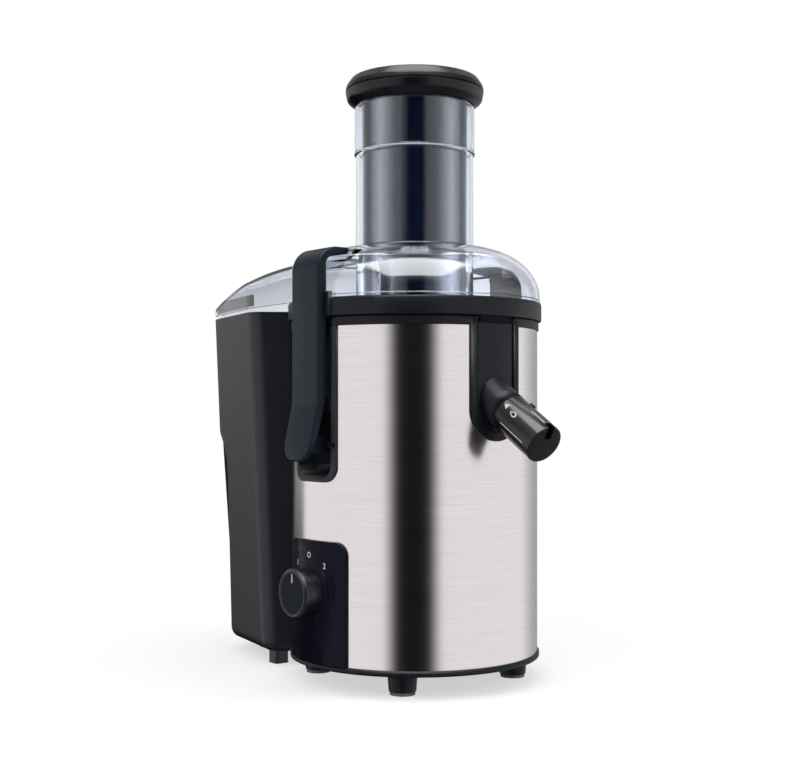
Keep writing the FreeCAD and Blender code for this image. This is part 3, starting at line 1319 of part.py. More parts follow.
def grating_disc():
    # A sheet disc with rows of upset teeth, each a small wedge that leans against the spin.
    disc = rod(GRATER_R, GRATER_Z, GRATER_Z + GRATER_SHEET)
    root = GRATER_Z + GRATER_SHEET / 2
    wedge = [(-TOOTH_LEAN, root, 0), (TOOTH_BACK, root, 0), (TOOTH_BACK, GRATER_Z + TOOTH_TOP, 0)]
    teeth = []
    for row in range(GRATER_ROWS):
        for i in range(GRATER_TEETH):
            radius = TOOTH_R0 + TOOTH_PITCH * i + TOOTH_STAGGER * (row % 2)
            tooth = prism_x(wedge, radius, radius + TOOTH_WIDTH)
            tooth.rotate(ORIGIN, UP, 360.0 * row / GRATER_ROWS)
            teeth.append(tooth)
    return fuse(disc, *teeth)


def filter_mesh():
    # The sieve wall: a sheet cone that stands on the disc's edge and leans out to the rim.
    foot = GRATER_R + MESH_STAND
    return turned([(foot, GRATER_Z, 0), (foot + MESH_SHEET, GRATER_Z, 0),
                   (BASKET_TOP_R + MESH_SHEET, BASKET_TOP_Z, 0), (BASKET_TOP_R, BASKET_TOP_Z, 0)])


def filter_rim():
    return turned([(BASKET_TOP_R - BASKET_RIM_LAP, BASKET_TOP_Z, 0), (BASKET_RIM_R, BASKET_TOP_Z, 0),
                   (BASKET_RIM_R, BASKET_RIM_Z, BASKET_RIM_ROUND),
                   (BASKET_TOP_R + MESH_SHEET, BASKET_RIM_Z, 0)])


# Assembly

def nodes():
    return {
        "base_plate": base_plate(),
        "foot_pads": foot_pads(),
        "base_screws": base_screws(),
        "motor_housing": motor_housing(),
        "motor_deck": motor_deck(),
        "steel_sleeve": steel_sleeve(),
        "housing_trim": housing_trim(),
        "front_arm_well": arm_well(FRONT),
        "rear_arm_well": arm_well(REAR),
        "front_arm_pin": arm_pin(FRONT),
        "rear_arm_pin": arm_pin(REAR),
        "cord_gland": cord_gland(),
        "control_panel": control_panel(),
        "rotary_switch": rotary_switch(),
        "switch_shaft": switch_shaft(),
        "speed_knob": speed_knob(),
        "knob_pointer": knob_pointer(),
        "front_arm": locking_arm(FRONT),
        "rear_arm": locking_arm(REAR),
        "filter_bowl": filter_bowl(),
        "juice_spout": juice_spout(),
        "spout_seal": spout_seal(),
        "spout_nozzle": spout_nozzle(),
        "shaft_seal": shaft_seal(),
        "lid": lid(),
        "feed_chute": feed_chute(),
        "hood_seal": hood_seal(),
        "pusher_body": pusher_body(),
        "pusher_cap": pusher_cap(),
        "pulp_bin": pulp_bin(),
        "motor_stator": motor_stator(),
        "stator_coils": stator_coils(),
        "motor_bracket_upper": bracket(UPPER_PLATE_Z, UPPER_BEARING_Z),
        "motor_bracket_lower": bracket(LOWER_PLATE_Z, LOWER_BEARING_Z),
        "upper_bearing": bearing(UPPER_BEARING_Z),
        "lower_bearing": bearing(LOWER_BEARING_Z),
        "motor_bolts": motor_bolts(),
        "motor_mounts": motor_mounts(),
        "brush_holders": brush_holders(),
        "carbon_brushes": carbon_brushes(),
        "interlock_switches": interlock_switches(),
        "suppression_capacitor": suppression_capacitor(),
        "motor_shaft": motor_shaft(),
        "armature_core": armature_core(),
        "armature_windings": armature_windings(),
        "commutator": commutator(),
        "cooling_fan": cooling_fan(),
        "drive_coupling": drive_coupling(),
        "filter_hub": filter_hub(),
        "grating_disc": grating_disc(),
        "filter_mesh": filter_mesh(),
        "filter_rim": filter_rim(),
    }


def main():
    os.makedirs("parts", exist_ok=True)
    tilt = math.radians(SPOUT_TILT)
    spout_reach = SPOUT_END_X + NOZZLE_R * math.sin(tilt)
    shift = Vec((BIN_BACK + OVER - spout_reach) / 2, 0, 0)
    for name, shape in nodes().items():
        shape.translate(shift)
        box = shape.BoundBox
        print(f"{name:24s} solids {len(shape.Solids)} valid {shape.isValid()} "
              f"z {box.ZMin:.1f} to {box.ZMax:.1f}")
        shape.exportStep(f"parts/{name}.step")


main()
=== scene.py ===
import bmesh
import bpy
import json
import math
import numpy as np
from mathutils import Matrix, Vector


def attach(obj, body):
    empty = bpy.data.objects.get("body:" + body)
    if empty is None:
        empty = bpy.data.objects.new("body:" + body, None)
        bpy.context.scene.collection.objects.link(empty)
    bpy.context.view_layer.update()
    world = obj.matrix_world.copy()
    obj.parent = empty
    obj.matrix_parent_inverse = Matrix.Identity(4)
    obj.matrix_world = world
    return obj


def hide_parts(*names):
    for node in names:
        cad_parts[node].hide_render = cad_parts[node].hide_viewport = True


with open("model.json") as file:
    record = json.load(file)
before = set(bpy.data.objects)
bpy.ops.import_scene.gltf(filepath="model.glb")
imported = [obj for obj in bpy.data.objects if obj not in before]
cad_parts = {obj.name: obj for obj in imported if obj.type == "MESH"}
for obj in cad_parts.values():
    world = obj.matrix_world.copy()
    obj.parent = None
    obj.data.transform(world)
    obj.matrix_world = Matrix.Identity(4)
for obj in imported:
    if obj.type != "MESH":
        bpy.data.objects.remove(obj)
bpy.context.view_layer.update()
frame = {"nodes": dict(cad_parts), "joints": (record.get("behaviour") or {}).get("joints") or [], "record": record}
nodes = frame["nodes"]
scene = bpy.context.scene
scene.view_settings.view_transform = "Standard"

# Sizes are in millimetres about the drive axis, as in the part's source; meshPiece() turns them into metres.
axisX = next(j for j in frame["joints"] if j["name"] == "basket_spin")["pos_m"][0] * 1000
print("frame loaded,", len(nodes), "nodes")

# Shapes
sharpAngle = 32.0  # degrees: smooth shading stops at edges sharper than this
mergeDistance, flatDistance = 2e-6, 1e-7  # metres: closer points and thinner slivers are merged
leastRadius = 0.5  # mm: a rounded corner keeps this when its outline moves in


def cornerRows(corners):
    # Corners (u, v) or (u, v, radius) as rows of three.
    return np.array([tuple(c) + (0.0,) * (3 - len(c)) for c in corners], float)


def roundedLine(corners, closed=True, steps=8, runs=1):
    # Points through corners (u, v, radius): an arc at each corner, p = c + slerp(first, last), runs between them.
    rows = cornerRows(corners)
    points, radii = rows[:, :2], rows[:, 2]
    count = len(points)
    arcs = []
    for i in range(count):
        here, radius = points[i], radii[i]
        if radius == 0 or (not closed and i in (0, count - 1)):
            arcs.append(here[None])
            continue
        back = points[i - 1] - here
        ahead = points[(i + 1) % count] - here
        back = back / np.linalg.norm(back)
        ahead = ahead / np.linalg.norm(ahead)
        half = math.acos(np.clip(back @ ahead, -1, 1)) / 2
        middle = back + ahead
        centre = here + middle / np.linalg.norm(middle) * radius / math.sin(half)
        first = here + back * radius / math.tan(half) - centre
        last = here + ahead * radius / math.tan(half) - centre
        sweep = math.pi - 2 * half
        share = np.linspace(0, 1, steps + 1)[:, None]
        arcs.append(centre + (np.sin((1 - share) * sweep) * first + np.sin(share * sweep) * last) / math.sin(sweep))
    if runs == 1:
        return np.concatenate(arcs)
    line = [arcs[0]]
    for i in range(1, count + closed):
        share = np.linspace(0, 1, runs + 1)[1:-1, None]
        start, end = arcs[i - 1][-1], arcs[i % count][0]
        line.append(start + (end - start) * share)
        if i < count:
            line.append(arcs[i])
    return np.concatenate(line)


def insetCorners(corners, depth):
    # A convex outline's corners moved inwards by depth, along each corner's bisector by depth / sin(half angle).
    rows = cornerRows(corners)
    points = rows[:, :2]
    back = np.roll(points, 1, 0) - points
    ahead = np.roll(points, -1, 0) - points
    back /= np.linalg.norm(back, axis=1, keepdims=True)
    ahead /= np.linalg.norm(ahead, axis=1, keepdims=True)
    half = np.arccos(np.clip((back * ahead).sum(1), -1, 1)) / 2
    middle = back + ahead
    middle /= np.linalg.norm(middle, axis=1, keepdims=True)
    moved = points + middle * (depth / np.sin(half))[:, None]
    radii = np.where(rows[:, 2] > 0, np.maximum(rows[:, 2] - depth, leastRadius), 0)
    return np.column_stack([moved, radii])


def openTop(half, foot, corner, top, steps=8):
    # Two sides up from a foot with rounded corners.
    return roundedLine([(-half, top), (-half, foot, corner), (half, foot, corner), (half, top)], steps=steps)


def slotOutline(half, foot, top):
    # The same with a half round foot.
    return openTop(half, foot, half * 0.999, top, 24)


def squareLine(half, corner):
    # A square about the origin with rounded corners.
    return roundedLine([(-half, -half, corner), (half, -half, corner), (half, half, corner), (-half, half, corner)])


def tidyMesh(piece):
    # Doubles merged, normals outward, smooth everywhere but across sharp edges.
    work = bmesh.new()
    work.from_mesh(piece.data)
    bmesh.ops.remove_doubles(work, verts=work.verts, dist=mergeDistance)
    bmesh.ops.dissolve_degenerate(work, edges=work.edges, dist=flatDistance)
    bmesh.ops.recalc_face_normals(work, faces=work.faces)
    work.to_mesh(piece.data)
    work.free()
    piece.data.shade_smooth()
    piece.data.set_sharp_from_angle(angle=math.radians(sharpAngle))


def meshPiece(name, points, faces, place=None):
    # Points in mm, moved by place where there is one, become a mesh in metres at the drive axis.
    points = np.reshape(np.asarray(points, float), (-1, 3))
    if place is not None:
        points = place(points)
    data = bpy.data.meshes.new(name)
    data.from_pydata((points + (axisX, 0, 0)) * 0.001, [], faces)
    piece = bpy.data.objects.new(name, data)
    scene.collection.objects.link(piece)
    tidyMesh(piece)
    return piece


def gridFaces(rows, columns, wrapRows=False, wrapColumns=True):
    # Quads between neighbours on a grid, closed round where it wraps.
    i, j = np.meshgrid(np.arange(rows if wrapRows else rows - 1),
                       np.arange(columns if wrapColumns else columns - 1), indexing="ij")
    nextI, nextJ = (i + 1) % rows, (j + 1) % columns
    return np.stack([i * columns + j, nextI * columns + j, nextI * columns + nextJ, i * columns + nextJ],
                    -1).reshape(-1, 4).tolist()


def swept(name, rows, closed=False, place=None):
    # Closed outlines in rows (n, m, 3) along a path, capped at both ends unless the path closes.
    rows = np.asarray(rows, float)
    count, around = rows.shape[:2]
    faces = gridFaces(count, around, wrapRows=closed)
    if not closed:
        faces += [list(range(around)), list(range((count - 1) * around, count * around))]
    return meshPiece(name, rows, faces, place)


def turned(name, profile, segments, place=None):
    # A closed profile (r, z) turned about the axis: (r cos a, r sin a, z).
    angle = np.linspace(0, 2 * math.pi, segments, endpoint=False)[:, None]
    r, z = np.asarray(profile, float)[:, :2].T
    rows = np.stack([r * np.cos(angle), r * np.sin(angle), z + 0 * angle], -1)
    return swept(name, rows, closed=True, place=place)


def drum(name, radius, low, high, segments, place=None):
    # A solid cylinder about the axis.
    return turned(name, [(0, low), (radius, low), (radius, high), (0, high)], segments, place=place)


def prism(name, outline, axis, low, high, place=None):
    # An outline (u, v) carried along one axis from low to high.
    u, v = np.asarray(outline, float)[:, :2].T
    rows = []
    for level in (low, high):
        w = np.full_like(u, level)
        rows.append(np.stack({"x": (w, u, v), "y": (u, w, v), "z": (u, v, w)}[axis], -1))
    return swept(name, rows, place=place)


def box(name, x0, x1, y0, y1, z0, z1):
    # A block between two corners.
    return prism(name, [(x0, y0), (x1, y0), (x1, y1), (x0, y1)], "z", z0, z1)


def carve(piece, cutters, operation="DIFFERENCE"):
    # The piece less the cutters, joined to them or cut down to them; the cutters are used up.
    for cutter in cutters:
        step = piece.modifiers.new(cutter.name, "BOOLEAN")
        step.operation = operation
        step.solver = "MANIFOLD"
        step.object = cutter
    bpy.context.view_layer.update()
    made = bpy.data.meshes.new_from_object(piece.evaluated_get(bpy.context.evaluated_depsgraph_get()))
    piece.modifiers.clear()
    old = piece.data
    piece.data = made
    bpy.data.meshes.remove(old)
    for cutter in cutters:
        bpy.data.meshes.remove(cutter.data)
    tidyMesh(piece)
    return piece


def mirrored(name, piece):
    # The same piece on the other side of the front-to-back middle plane: y becomes -y.
    data = piece.data.copy()
    points = np.empty(len(data.vertices) * 3, np.float32)
    data.vertices.foreach_get("co", points)
    points[1::3] *= -1
    data.vertices.foreach_set("co", points)
    data.flip_normals()
    copy = bpy.data.objects.new(name, data)
    scene.collection.objects.link(copy)
    return copy


def dress(piece, body, look, slot, *stoodFor):
    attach(piece, body)
    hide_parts(*stoodFor)
    piece.data.materials.clear()
    piece.data.materials.append(looks[look])


def smoothCopy(name, node, look, slot):
    # A base node's own mesh, merged and smoothed.
    piece = bpy.data.objects.new(name, nodes[node].data.copy())
    scene.collection.objects.link(piece)
    tidyMesh(piece)
    dress(piece, "base", look, slot, node)


# Materials
def hexColour(text):
    # sRGB hex to linear light.
    values = np.array([int(text[i:i + 2], 16) for i in (1, 3, 5)]) / 255
    linear = np.where(values <= 0.04045, values / 12.92, ((values + 0.055) / 1.055) ** 2.4)
    return [*linear.tolist(), 1.0]


def grey(level):
    return (level, level, level, 1.0)


def addNode(tree, kind, values=None, links=None, stops=None, **settings):
    # A node with its settings, socket values and links, and a ramp's stops (position, colour).
    node = tree.nodes.new("ShaderNode" + kind)
    for key, value in settings.items():
        setattr(node, key, value)
    for key, value in (values or {}).items():
        node.inputs[key].default_value = value
    for key, source in (links or {}).items():
        tree.links.new(source, node.inputs[key])
    if stops:
        ramp = node.color_ramp.elements
        while len(ramp) < len(stops):
            ramp.new(0.5)
        for element, (position, colour) in zip(ramp, stops):
            element.position = position
            element.color = colour
    return node


def newMaterial(name, values):
    made = bpy.data.materials.new(name)
    made.use_nodes = True
    shader = made.node_tree.nodes["Principled BSDF"]
    for key, value in values.items():
        shader.inputs[key].default_value = value
    return made, made.node_tree, shader


def joinShader(tree, shader, parts):
    # Each node's first output goes to the shader's socket of that name.
    for socket, part in parts.items():
        tree.links.new(part.outputs[0], shader.inputs[socket])


grainLook = {"cloud": 70.0, "cloudShare": 0.35, "darkAt": 0.4, "lightAt": 0.95, "roughFrom": 0.3, "roughTo": 0.7}


def patterned(name, dark, light, rough, scale, stretch=(1, 1, 1), depth=0.0, edge=0.0, specular=0.5, **extra):
    # One solid material: a noise of that grain in mm runs between two tones and two roughnesses, and gives the relief
    # of that depth in mm; a broad cloud shifts the tone, and edge rounds the corners' shading by that radius in mm.
    # Real grains are finer: they are drawn at 0.3 mm or more, so that they show.
    made, tree, shader = newMaterial(name, {"Specular IOR Level": specular, **extra})
    spot = addNode(tree, "TexCoord").outputs["Object"]
    place = addNode(tree, "Mapping", {"Scale": [1000 / scale * s for s in stretch]}, {"Vector": spot})
    grain = addNode(tree, "TexNoise", {"Scale": 1.0, "Detail": 3.0, "Roughness": 0.6}, {"Vector": place.outputs[0]})
    cloud = addNode(tree, "TexNoise", {"Scale": 1000 / grainLook["cloud"], "Detail": 2.0}, {"Vector": spot})
    both = addNode(tree, "Math", {1: grainLook["cloudShare"]}, {0: cloud.outputs[0], 2: grain.outputs[0]},
                   operation="MULTIPLY_ADD")
    tone = addNode(tree, "ValToRGB", None, {"Fac": both.outputs[0]},
                   [(grainLook["darkAt"], hexColour(dark)), (grainLook["lightAt"], hexColour(light))])
    gloss = addNode(tree, "MapRange", {"From Min": grainLook["roughFrom"], "From Max": grainLook["roughTo"],
                                       "To Min": rough[0], "To Max": rough[1]}, {"Value": grain.outputs[0]})
    parts = {"Base Color": tone, "Roughness": gloss}
    under = {}
    if edge:
        parts["Normal"] = addNode(tree, "Bevel", {"Radius": edge * 0.001}, samples=6)
        under = {"Normal": parts["Normal"].outputs[0]}
    if depth:
        parts["Normal"] = addNode(tree, "Bump", {"Strength": 1.0, "Distance": depth * 0.001},
                                  {"Height": grain.outputs[0], **under})
    joinShader(tree, shader, parts)
    return made


steel = {"dark": "#D8D1D1", "light": "#E6E1E1", "darkAt": 0.3, "lightAt": 0.9, "rough": (0.175, 0.205),
         "hairLength": 41.66667, "hairPitch": 0.6666667, "bandLength": 111.1111, "bandPitch": 2.380952,
         "bandShare": 0.2, "relief": 0.01}


def brushedSteel():
    # Stainless sheet brushed round the sleeve: hair lines that draw reflections out sideways, and faint bands of them.
    # Real hair lines are about a tenth of a millimetre apart: these are drawn coarser, so that they show.
    values = {"Metallic": 1.0, "Anisotropic": 0.4, "Anisotropic Rotation": 0.25}
    made, tree, shader = newMaterial("brushedStainlessSteel", values)
    spot = addNode(tree, "TexCoord").outputs["Object"]
    fineScale = [1000 / steel[key] for key in ("hairLength", "hairLength", "hairPitch")]
    wideScale = [1000 / steel[key] for key in ("bandLength", "bandLength", "bandPitch")]
    fine = addNode(tree, "Mapping", {"Scale": fineScale}, {"Vector": spot})
    wide = addNode(tree, "Mapping", {"Scale": wideScale}, {"Vector": spot})
    hair = addNode(tree, "TexNoise", {"Scale": 1.0, "Detail": 4.0, "Roughness": 0.7}, {"Vector": fine.outputs[0]})
    band = addNode(tree, "TexNoise", {"Scale": 1.0, "Detail": 2.0}, {"Vector": wide.outputs[0]})
    both = addNode(tree, "Math", {1: steel["bandShare"]}, {0: band.outputs[0], 2: hair.outputs[0]},
                   operation="MULTIPLY_ADD")
    tone = addNode(tree, "ValToRGB", None, {"Fac": both.outputs[0]},
                   [(steel["darkAt"], hexColour(steel["dark"])), (steel["lightAt"], hexColour(steel["light"]))])
    gloss = addNode(tree, "MapRange", {"From Min": 0.3, "From Max": 0.7, "To Min": steel["rough"][0],
                                       "To Max": steel["rough"][1]}, {"Value": hair.outputs[0]})
    grain = addNode(tree, "Tangent", direction_type="RADIAL", axis="Z")
    relief = addNode(tree, "Bump", {"Strength": 0.1, "Distance": steel["relief"] * 0.001}, {"Height": hair.outputs[0]})
    joinShader(tree, shader, {"Base Color": tone, "Roughness": gloss, "Tangent": grain, "Normal": relief})
    return made


clearLook = {"wave": 25.0, "haze": 30.0, "hazeFrom": 0.3, "hazeTo": 0.75}


def clearPlastic(name, colour, rough, waves, **extra):
    # Polished clear moulding: broad flow waves of that height in mm, and a faint haze of handling marks.
    made, tree, shader = newMaterial(name, {"Base Color": hexColour(colour), "IOR": 1.49, **extra})
    spot = addNode(tree, "TexCoord").outputs["Object"]
    wave = addNode(tree, "TexNoise", {"Scale": 1000 / clearLook["wave"], "Detail": 1.0}, {"Vector": spot})
    haze = addNode(tree, "TexNoise", {"Scale": 1000 / clearLook["haze"], "Detail": 1.0}, {"Vector": spot})
    gloss = addNode(tree, "MapRange", {"From Min": clearLook["hazeFrom"], "From Max": clearLook["hazeTo"],
                                       "To Min": rough[0], "To Max": rough[1]}, {"Value": haze.outputs[0]})
    relief = addNode(tree, "Bump", {"Strength": 1.0, "Distance": waves * 0.001}, {"Height": wave.outputs[0]})
    joinShader(tree, shader, {"Roughness": gloss, "Normal": relief})
    return made


looks = {
    # ABS from an etched tool: blue-black, with dull, slightly broken reflections.
    "black_plastic": patterned("etchedAbs", "#11131A", "#191B23", (0.36, 0.46), 0.5, depth=0.006, edge=0.7,
                               specular=0.2),
    # ABS from a satin tool: the darkest piece, with one broad soft light on its crown.
    "cap_plastic": patterned("satinAbsCap", "#0B0C11", "#12131A", (0.22, 0.30), 0.5, depth=0.002, specular=0.3),
    # ABS from an etched tool, the housing's black painted a shade lighter: painted light that lifts the shaded hollow
    # so that it still reads behind the arm.
    "well_plastic": patterned("etchedAbsWell", "#1A1C23", "#22242C", (0.34, 0.44), 0.5, depth=0.006, edge=0.6,
                              specular=0.3),
    # ABS from a finer tool: a smooth, even dark collar.
    "bowl_plastic": patterned("fineAbsBowl", "#14161C", "#1A1C23", (0.30, 0.40), 0.5, depth=0.004, edge=0.7,
                              specular=0.2),
    # ABS from a polished tool: a bright streak along the cup.
    "nozzle_plastic": patterned("polishedAbsNozzle", "#101119", "#15161E", (0.17, 0.22), 0.5, depth=0.002,
                                specular=0.42),
    # Moulded nylon, satin: slate blue, with hardly any highlight.
    "arm_plastic": patterned("satinNylonArm", "#18202A", "#202933", (0.28, 0.36), 0.6, depth=0.004, specular=0.13),
    # Polypropylene from a grained tool: grey sheen on the faces that lean away.
    "bin_plastic": patterned("grainedPolypropyleneBin", "#12141D", "#191B26", (0.36, 0.46), 0.7, depth=0.010,
                             specular=0.45),
    # The same, blasted matt and painted darker: painted shade over the finger hold, which stays darker than the sheen
    # round it.
    "grip_plastic": patterned("mattPolypropyleneGrip", "#101117", "#16171D", (0.6, 0.7), 0.7, depth=0.010, IOR=1.1),
    # ABS under a clear hard film: deep and even, without grain.
    "panel_plastic": patterned("filmedAbsPanel", "#161824", "#1C1E2B", (0.16, 0.22), 1.2, edge=0.8, IOR=1.12),
    # Moulded ABS, satin: a light rim and a soft streak down the side of the dial.
    "dial_plastic": patterned("satinAbsDial", "#12141B", "#181A22", (0.26, 0.34), 0.5, depth=0.003, edge=0.5),
    # The same, etched matt: a quiet slate face inside the light rim.
    "face_plastic": patterned("mattAbsDialFace", "#1A1F26", "#20252D", (0.45, 0.55), 0.5, depth=0.004, IOR=1.12),
    # Moulded rubber: a black strip behind the clear hood.
    "hood_rubber": patterned("mouldedRubberHood", "#090A0F", "#0E0F15", (0.5, 0.6), 0.6, depth=0.01, specular=0.1),
    # Plated steel pins painted dark: painted shade over the pins' ends in the wells, with a dull metal glint.
    "pin_steel": patterned("blackenedSteelPin", "#17181B", "#232428", (0.35, 0.45), 0.6, depth=0.003, Metallic=0.5),
    # Pad printing ink: flat white.
    "mark_print": patterned("padPrintWhite", "#DADADC", "#F2F2F4", (0.45, 0.55), 0.4, depth=0.002),
    # Moulded nylon: a plain dark grey case.
    "switch_plastic": patterned("mouldedNylonSwitch", "#26282B", "#34363A", (0.45, 0.55), 0.6, depth=0.006),
    # Glass filled nylon: dull, with a fibrous mottle.
    "coupling_plastic": patterned("glassFilledNylon", "#1A1B1D", "#2A2B2E", (0.5, 0.6), 0.5, depth=0.008),
    # Polyester case, moulded: waxy yellow.
    "capacitor_plastic": patterned("mouldedPolyesterCase", "#C9B24A", "#D8C25C", (0.35, 0.45), 0.8, depth=0.004),
    # Filled paint: a warm cream line.
    "pointer_paint": patterned("creamPaintFill", "#DDBFA4", "#EED6C0", (0.35, 0.45), 0.4, depth=0.003),
    # Etched stainless sheet: a speckle of holes.
    "sieve_steel": patterned("etchedSieveSteel", "#AEB0B2", "#C9CBCC", (0.25, 0.36), 1.6, depth=0.05, Metallic=1.0),
    # Zinc plated steel: bright and slightly clouded.
    "plated_steel": patterned("zincPlatedSteel", "#B4B6B8", "#C6C8CA", (0.28, 0.38), 0.8, depth=0.003, Metallic=1.0),
    # Ground bearing steel: clean, with fine rings.
    "bearing_steel": patterned("groundBearingSteel", "#A6A8AA", "#BDBFC1", (0.18, 0.28), 0.6, (1, 1, 4), Metallic=1.0),
    # Stacked electrical sheet: thin level stripes.
    "lamination_steel": patterned("stackedSheetSteel", "#3C3E42", "#8A8C90", (0.35, 0.5), 0.8, (0.02, 0.02, 1), 0.05,
                                  Metallic=1.0),
    # Die cast aluminium: pale grey with a rough skin.
    "cast_aluminium": patterned("castAluminium", "#8F9295", "#B2B4B6", (0.45, 0.6), 1.0, depth=0.03, Metallic=1.0),
    # Enamelled copper wire: warm strands side by side.
    "winding_copper": patterned("enamelledCopperWire", "#7C3C1A", "#C87A40", (0.22, 0.34), 0.9, (1, 1, 0.1), 0.12,
                                Metallic=0.9),
    # Turned copper bars: upright stripes worn bright.
    "winding_brass": patterned("turnedCopperBars", "#9A6A34", "#C49A5C", (0.25, 0.36), 1.2, (1, 1, 0.05), 0.05,
                               Metallic=1.0),
    # Pressed carbon: sooty and flat.
    "carbon": patterned("pressedCarbon", "#141416", "#222225", (0.6, 0.75), 0.4, depth=0.01),
    # Moulded rubber, unfilled: mid grey and dull.
    "pad_rubber": patterned("mouldedPadRubber", "#7C7D82", "#8C8D92", (0.65, 0.8), 0.7, depth=0.02),
    # Moulded seal rubber: dull black.
    "seal_rubber": patterned("mouldedSealRubber", "#1B1C1F", "#25262A", (0.55, 0.7), 0.6, depth=0.01),
    "brushed_sleeve_steel": brushedSteel(),
    # SAN from a polished tool: clear, with bright edges and a cold tint where walls stack up.
    "clear_plastic": clearPlastic("polishedSanLid", "#E9EDF4", (0.01, 0.04), 0.012, **{"Transmission Weight": 1.0}),
    # The clear SAN chute's bead painted as a pale, opaque ring: a painted highlight along the bead.
    "frosted_plastic": patterned("etchedSanBead", "#D6DAE2", "#E8ECF2", (0.4, 0.5), 0.3, depth=0.004),
    # Smoked SAN, polished: navy in depth, with long grey reflections.
    "smoked_plastic": clearPlastic("smokedSanPusher", "#212F4A", (0.06, 0.1), 0.01, **{
        "Transmission Weight": 0.25, "Specular IOR Level": 1.0, "Coat Weight": 1.0, "Coat Roughness": 0.04}),
}
print("materials made")

# CAD nodes that stay: each takes the material of its own slot.
slotNames = {entry["slot"] for entry in frame["record"]["materials"]}
dressedCount = 0
for node in nodes.values():
    for held in node.material_slots:
        slotName = held.material.name.split(".")[0] if held.material else ""
        if slotName in slotNames:
            held.material = looks[slotName]
            dressedCount += 1
# The pivot pins take the dark pin material: painted shade where their ends sit in the wells.
for nodeName in ("front_arm_pin", "rear_arm_pin"):
    nodes[nodeName].material_slots[0].material = looks["pin_steel"]
print("CAD nodes dressed:", dressedCount, "of", len(nodes))

# Steel sleeve: a rolled sheet with openings for both wells, the panel, the spout, the cord and the bin side.
sleeve = {"outer": 82.2, "inner": 81.4, "foot": 17.3, "top": 232.0, "openTurn": 45.0, "wellHalf": 20.6,
          "wellFoot": 133.6, "wellCorner": 8.0, "panelHalf": 27.8, "panelTop": 92.6, "panelCorner": 6.3,
          "slotHalf": 18.4, "slotFoot": 159.6, "cordHalf": 6.4, "cordCorner": 6.39, "cordZ": 38.0,
          "cutFrom": 60.0, "cutTo": 90.0, "cutTop": 240.0, "wedge": 150.0}


def steelSleeve():
    # A thin wall (r, z) turned about the axis, less outlines carried through it.
    s = sleeve
    near, far = s["cutFrom"], s["cutTo"]
    piece = turned("steelSleeve", [(s["inner"], s["foot"]), (s["outer"], s["foot"]), (s["outer"], s["top"]),
                                   (s["inner"], s["top"])], 360)
    well = openTop(s["wellHalf"], s["wellFoot"], s["wellCorner"], s["cutTop"])
    half, corner = s["panelHalf"], s["panelCorner"]
    panel = roundedLine([(-half, s["foot"]), (half, s["foot"]), (half, s["panelTop"], corner),
                         (-half, s["panelTop"], corner)])
    side = s["wedge"] * math.tan(math.radians(s["openTurn"]))
    wedge = [(0, 0), (-s["wedge"], -side), (-s["wedge"], side)]
    cord = squareLine(s["cordHalf"], s["cordCorner"]) + (0, s["cordZ"])
    carve(piece, [prism("frontWellCut", well, "y", -far, -near), prism("rearWellCut", well, "y", near, far),
                  prism("panelCut", panel, "y", -far, -near),
                  prism("spoutCut", slotOutline(s["slotHalf"], s["slotFoot"], s["cutTop"]), "x", near, far),
                  prism("cordCut", cord, "y", near, far), prism("backCut", wedge, "z", 0, s["cutTop"])])
    dress(piece, "base", "brushed_sleeve_steel", "brushed_sleeve_steel", "steel_sleeve")


steelSleeve()
print("sleeve made")

# Clear lid: dome and hood hollowed from below, pockets for the arms' hooks, and the feed chute with its bead and foot.
lid = {"radius": 84.3, "wall": 2.2, "step": 0.5, "stepFoot": 2.2, "stepTop": 1.4, "spring": 252.0, "top": 285.5,
       "chute": 39.6, "seat": 248.4, "roof": 285.0, "roofRadius": 590.0, "crown": 260.0, "over": 292.0,
       "roofFrom": -205.0, "roofTo": 2.0, "segments": 256,
       "hoodHalf": [(-22.0, -66.0, 0), (-30.0, -78.6, 0), (-95.0, -74.0, 60.0), (-193.4, -48.6, 34.0)]}
pocket = {"half": 20.4, "back": 61.5, "floor": 272.6, "top": 300.0, "skirt": 81.4, "skirtFoot": 240.0,
          "skirtTop": 290.0, "outside": 90.0}
chute = {"bore": 37.4, "boreFoot": 200.0, "boreTop": 346.5,
         "wallLine": [(37.4, 239, 0.6), (39.6, 239, 0.6), (39.6, 293.5), (39.3, 348.3, 0.3), (40.4, 348.9, 0.4),
                      (40.4, 350.3, 0.4), (40.2, 350.9, 0.2), (40.2, 381, 1.0), (37.9, 381, 1.0), (37.9, 349.5),
                      (37.4, 346.5)],
         "footLine": [(39.0, 283.5), (43.5, 284.6), (39.7, 285.7, 1.8), (39.5, 290)],  # a hollow curve onto the dome
         "beadLine": [(40.35, 349.0), (40.7, 349.0, 0.2), (40.7, 349.8, 0.2), (40.35, 349.8)]}


def domeSolid(name, depth):
    # An upright rim with a bevelled step, then a quarter ellipse r = chute + a cos t, z = spring + b sin t.
    turn = np.linspace(0, math.pi / 2, 33)
    reach = lid["radius"] - lid["step"] - depth
    arc = np.column_stack([lid["chute"] + (reach - lid["chute"]) * np.cos(turn),
                           lid["spring"] + (lid["top"] - depth - lid["spring"]) * np.sin(turn)])
    profile = np.vstack([[(0, lid["seat"] - depth), (reach + lid["step"], lid["seat"] - depth),
                          (reach + lid["step"], lid["spring"] - lid["stepFoot"]),
                          (reach, lid["spring"] - lid["stepTop"])], arc, [(0, lid["top"] - depth)]])
    return turned(name, profile, lid["segments"])


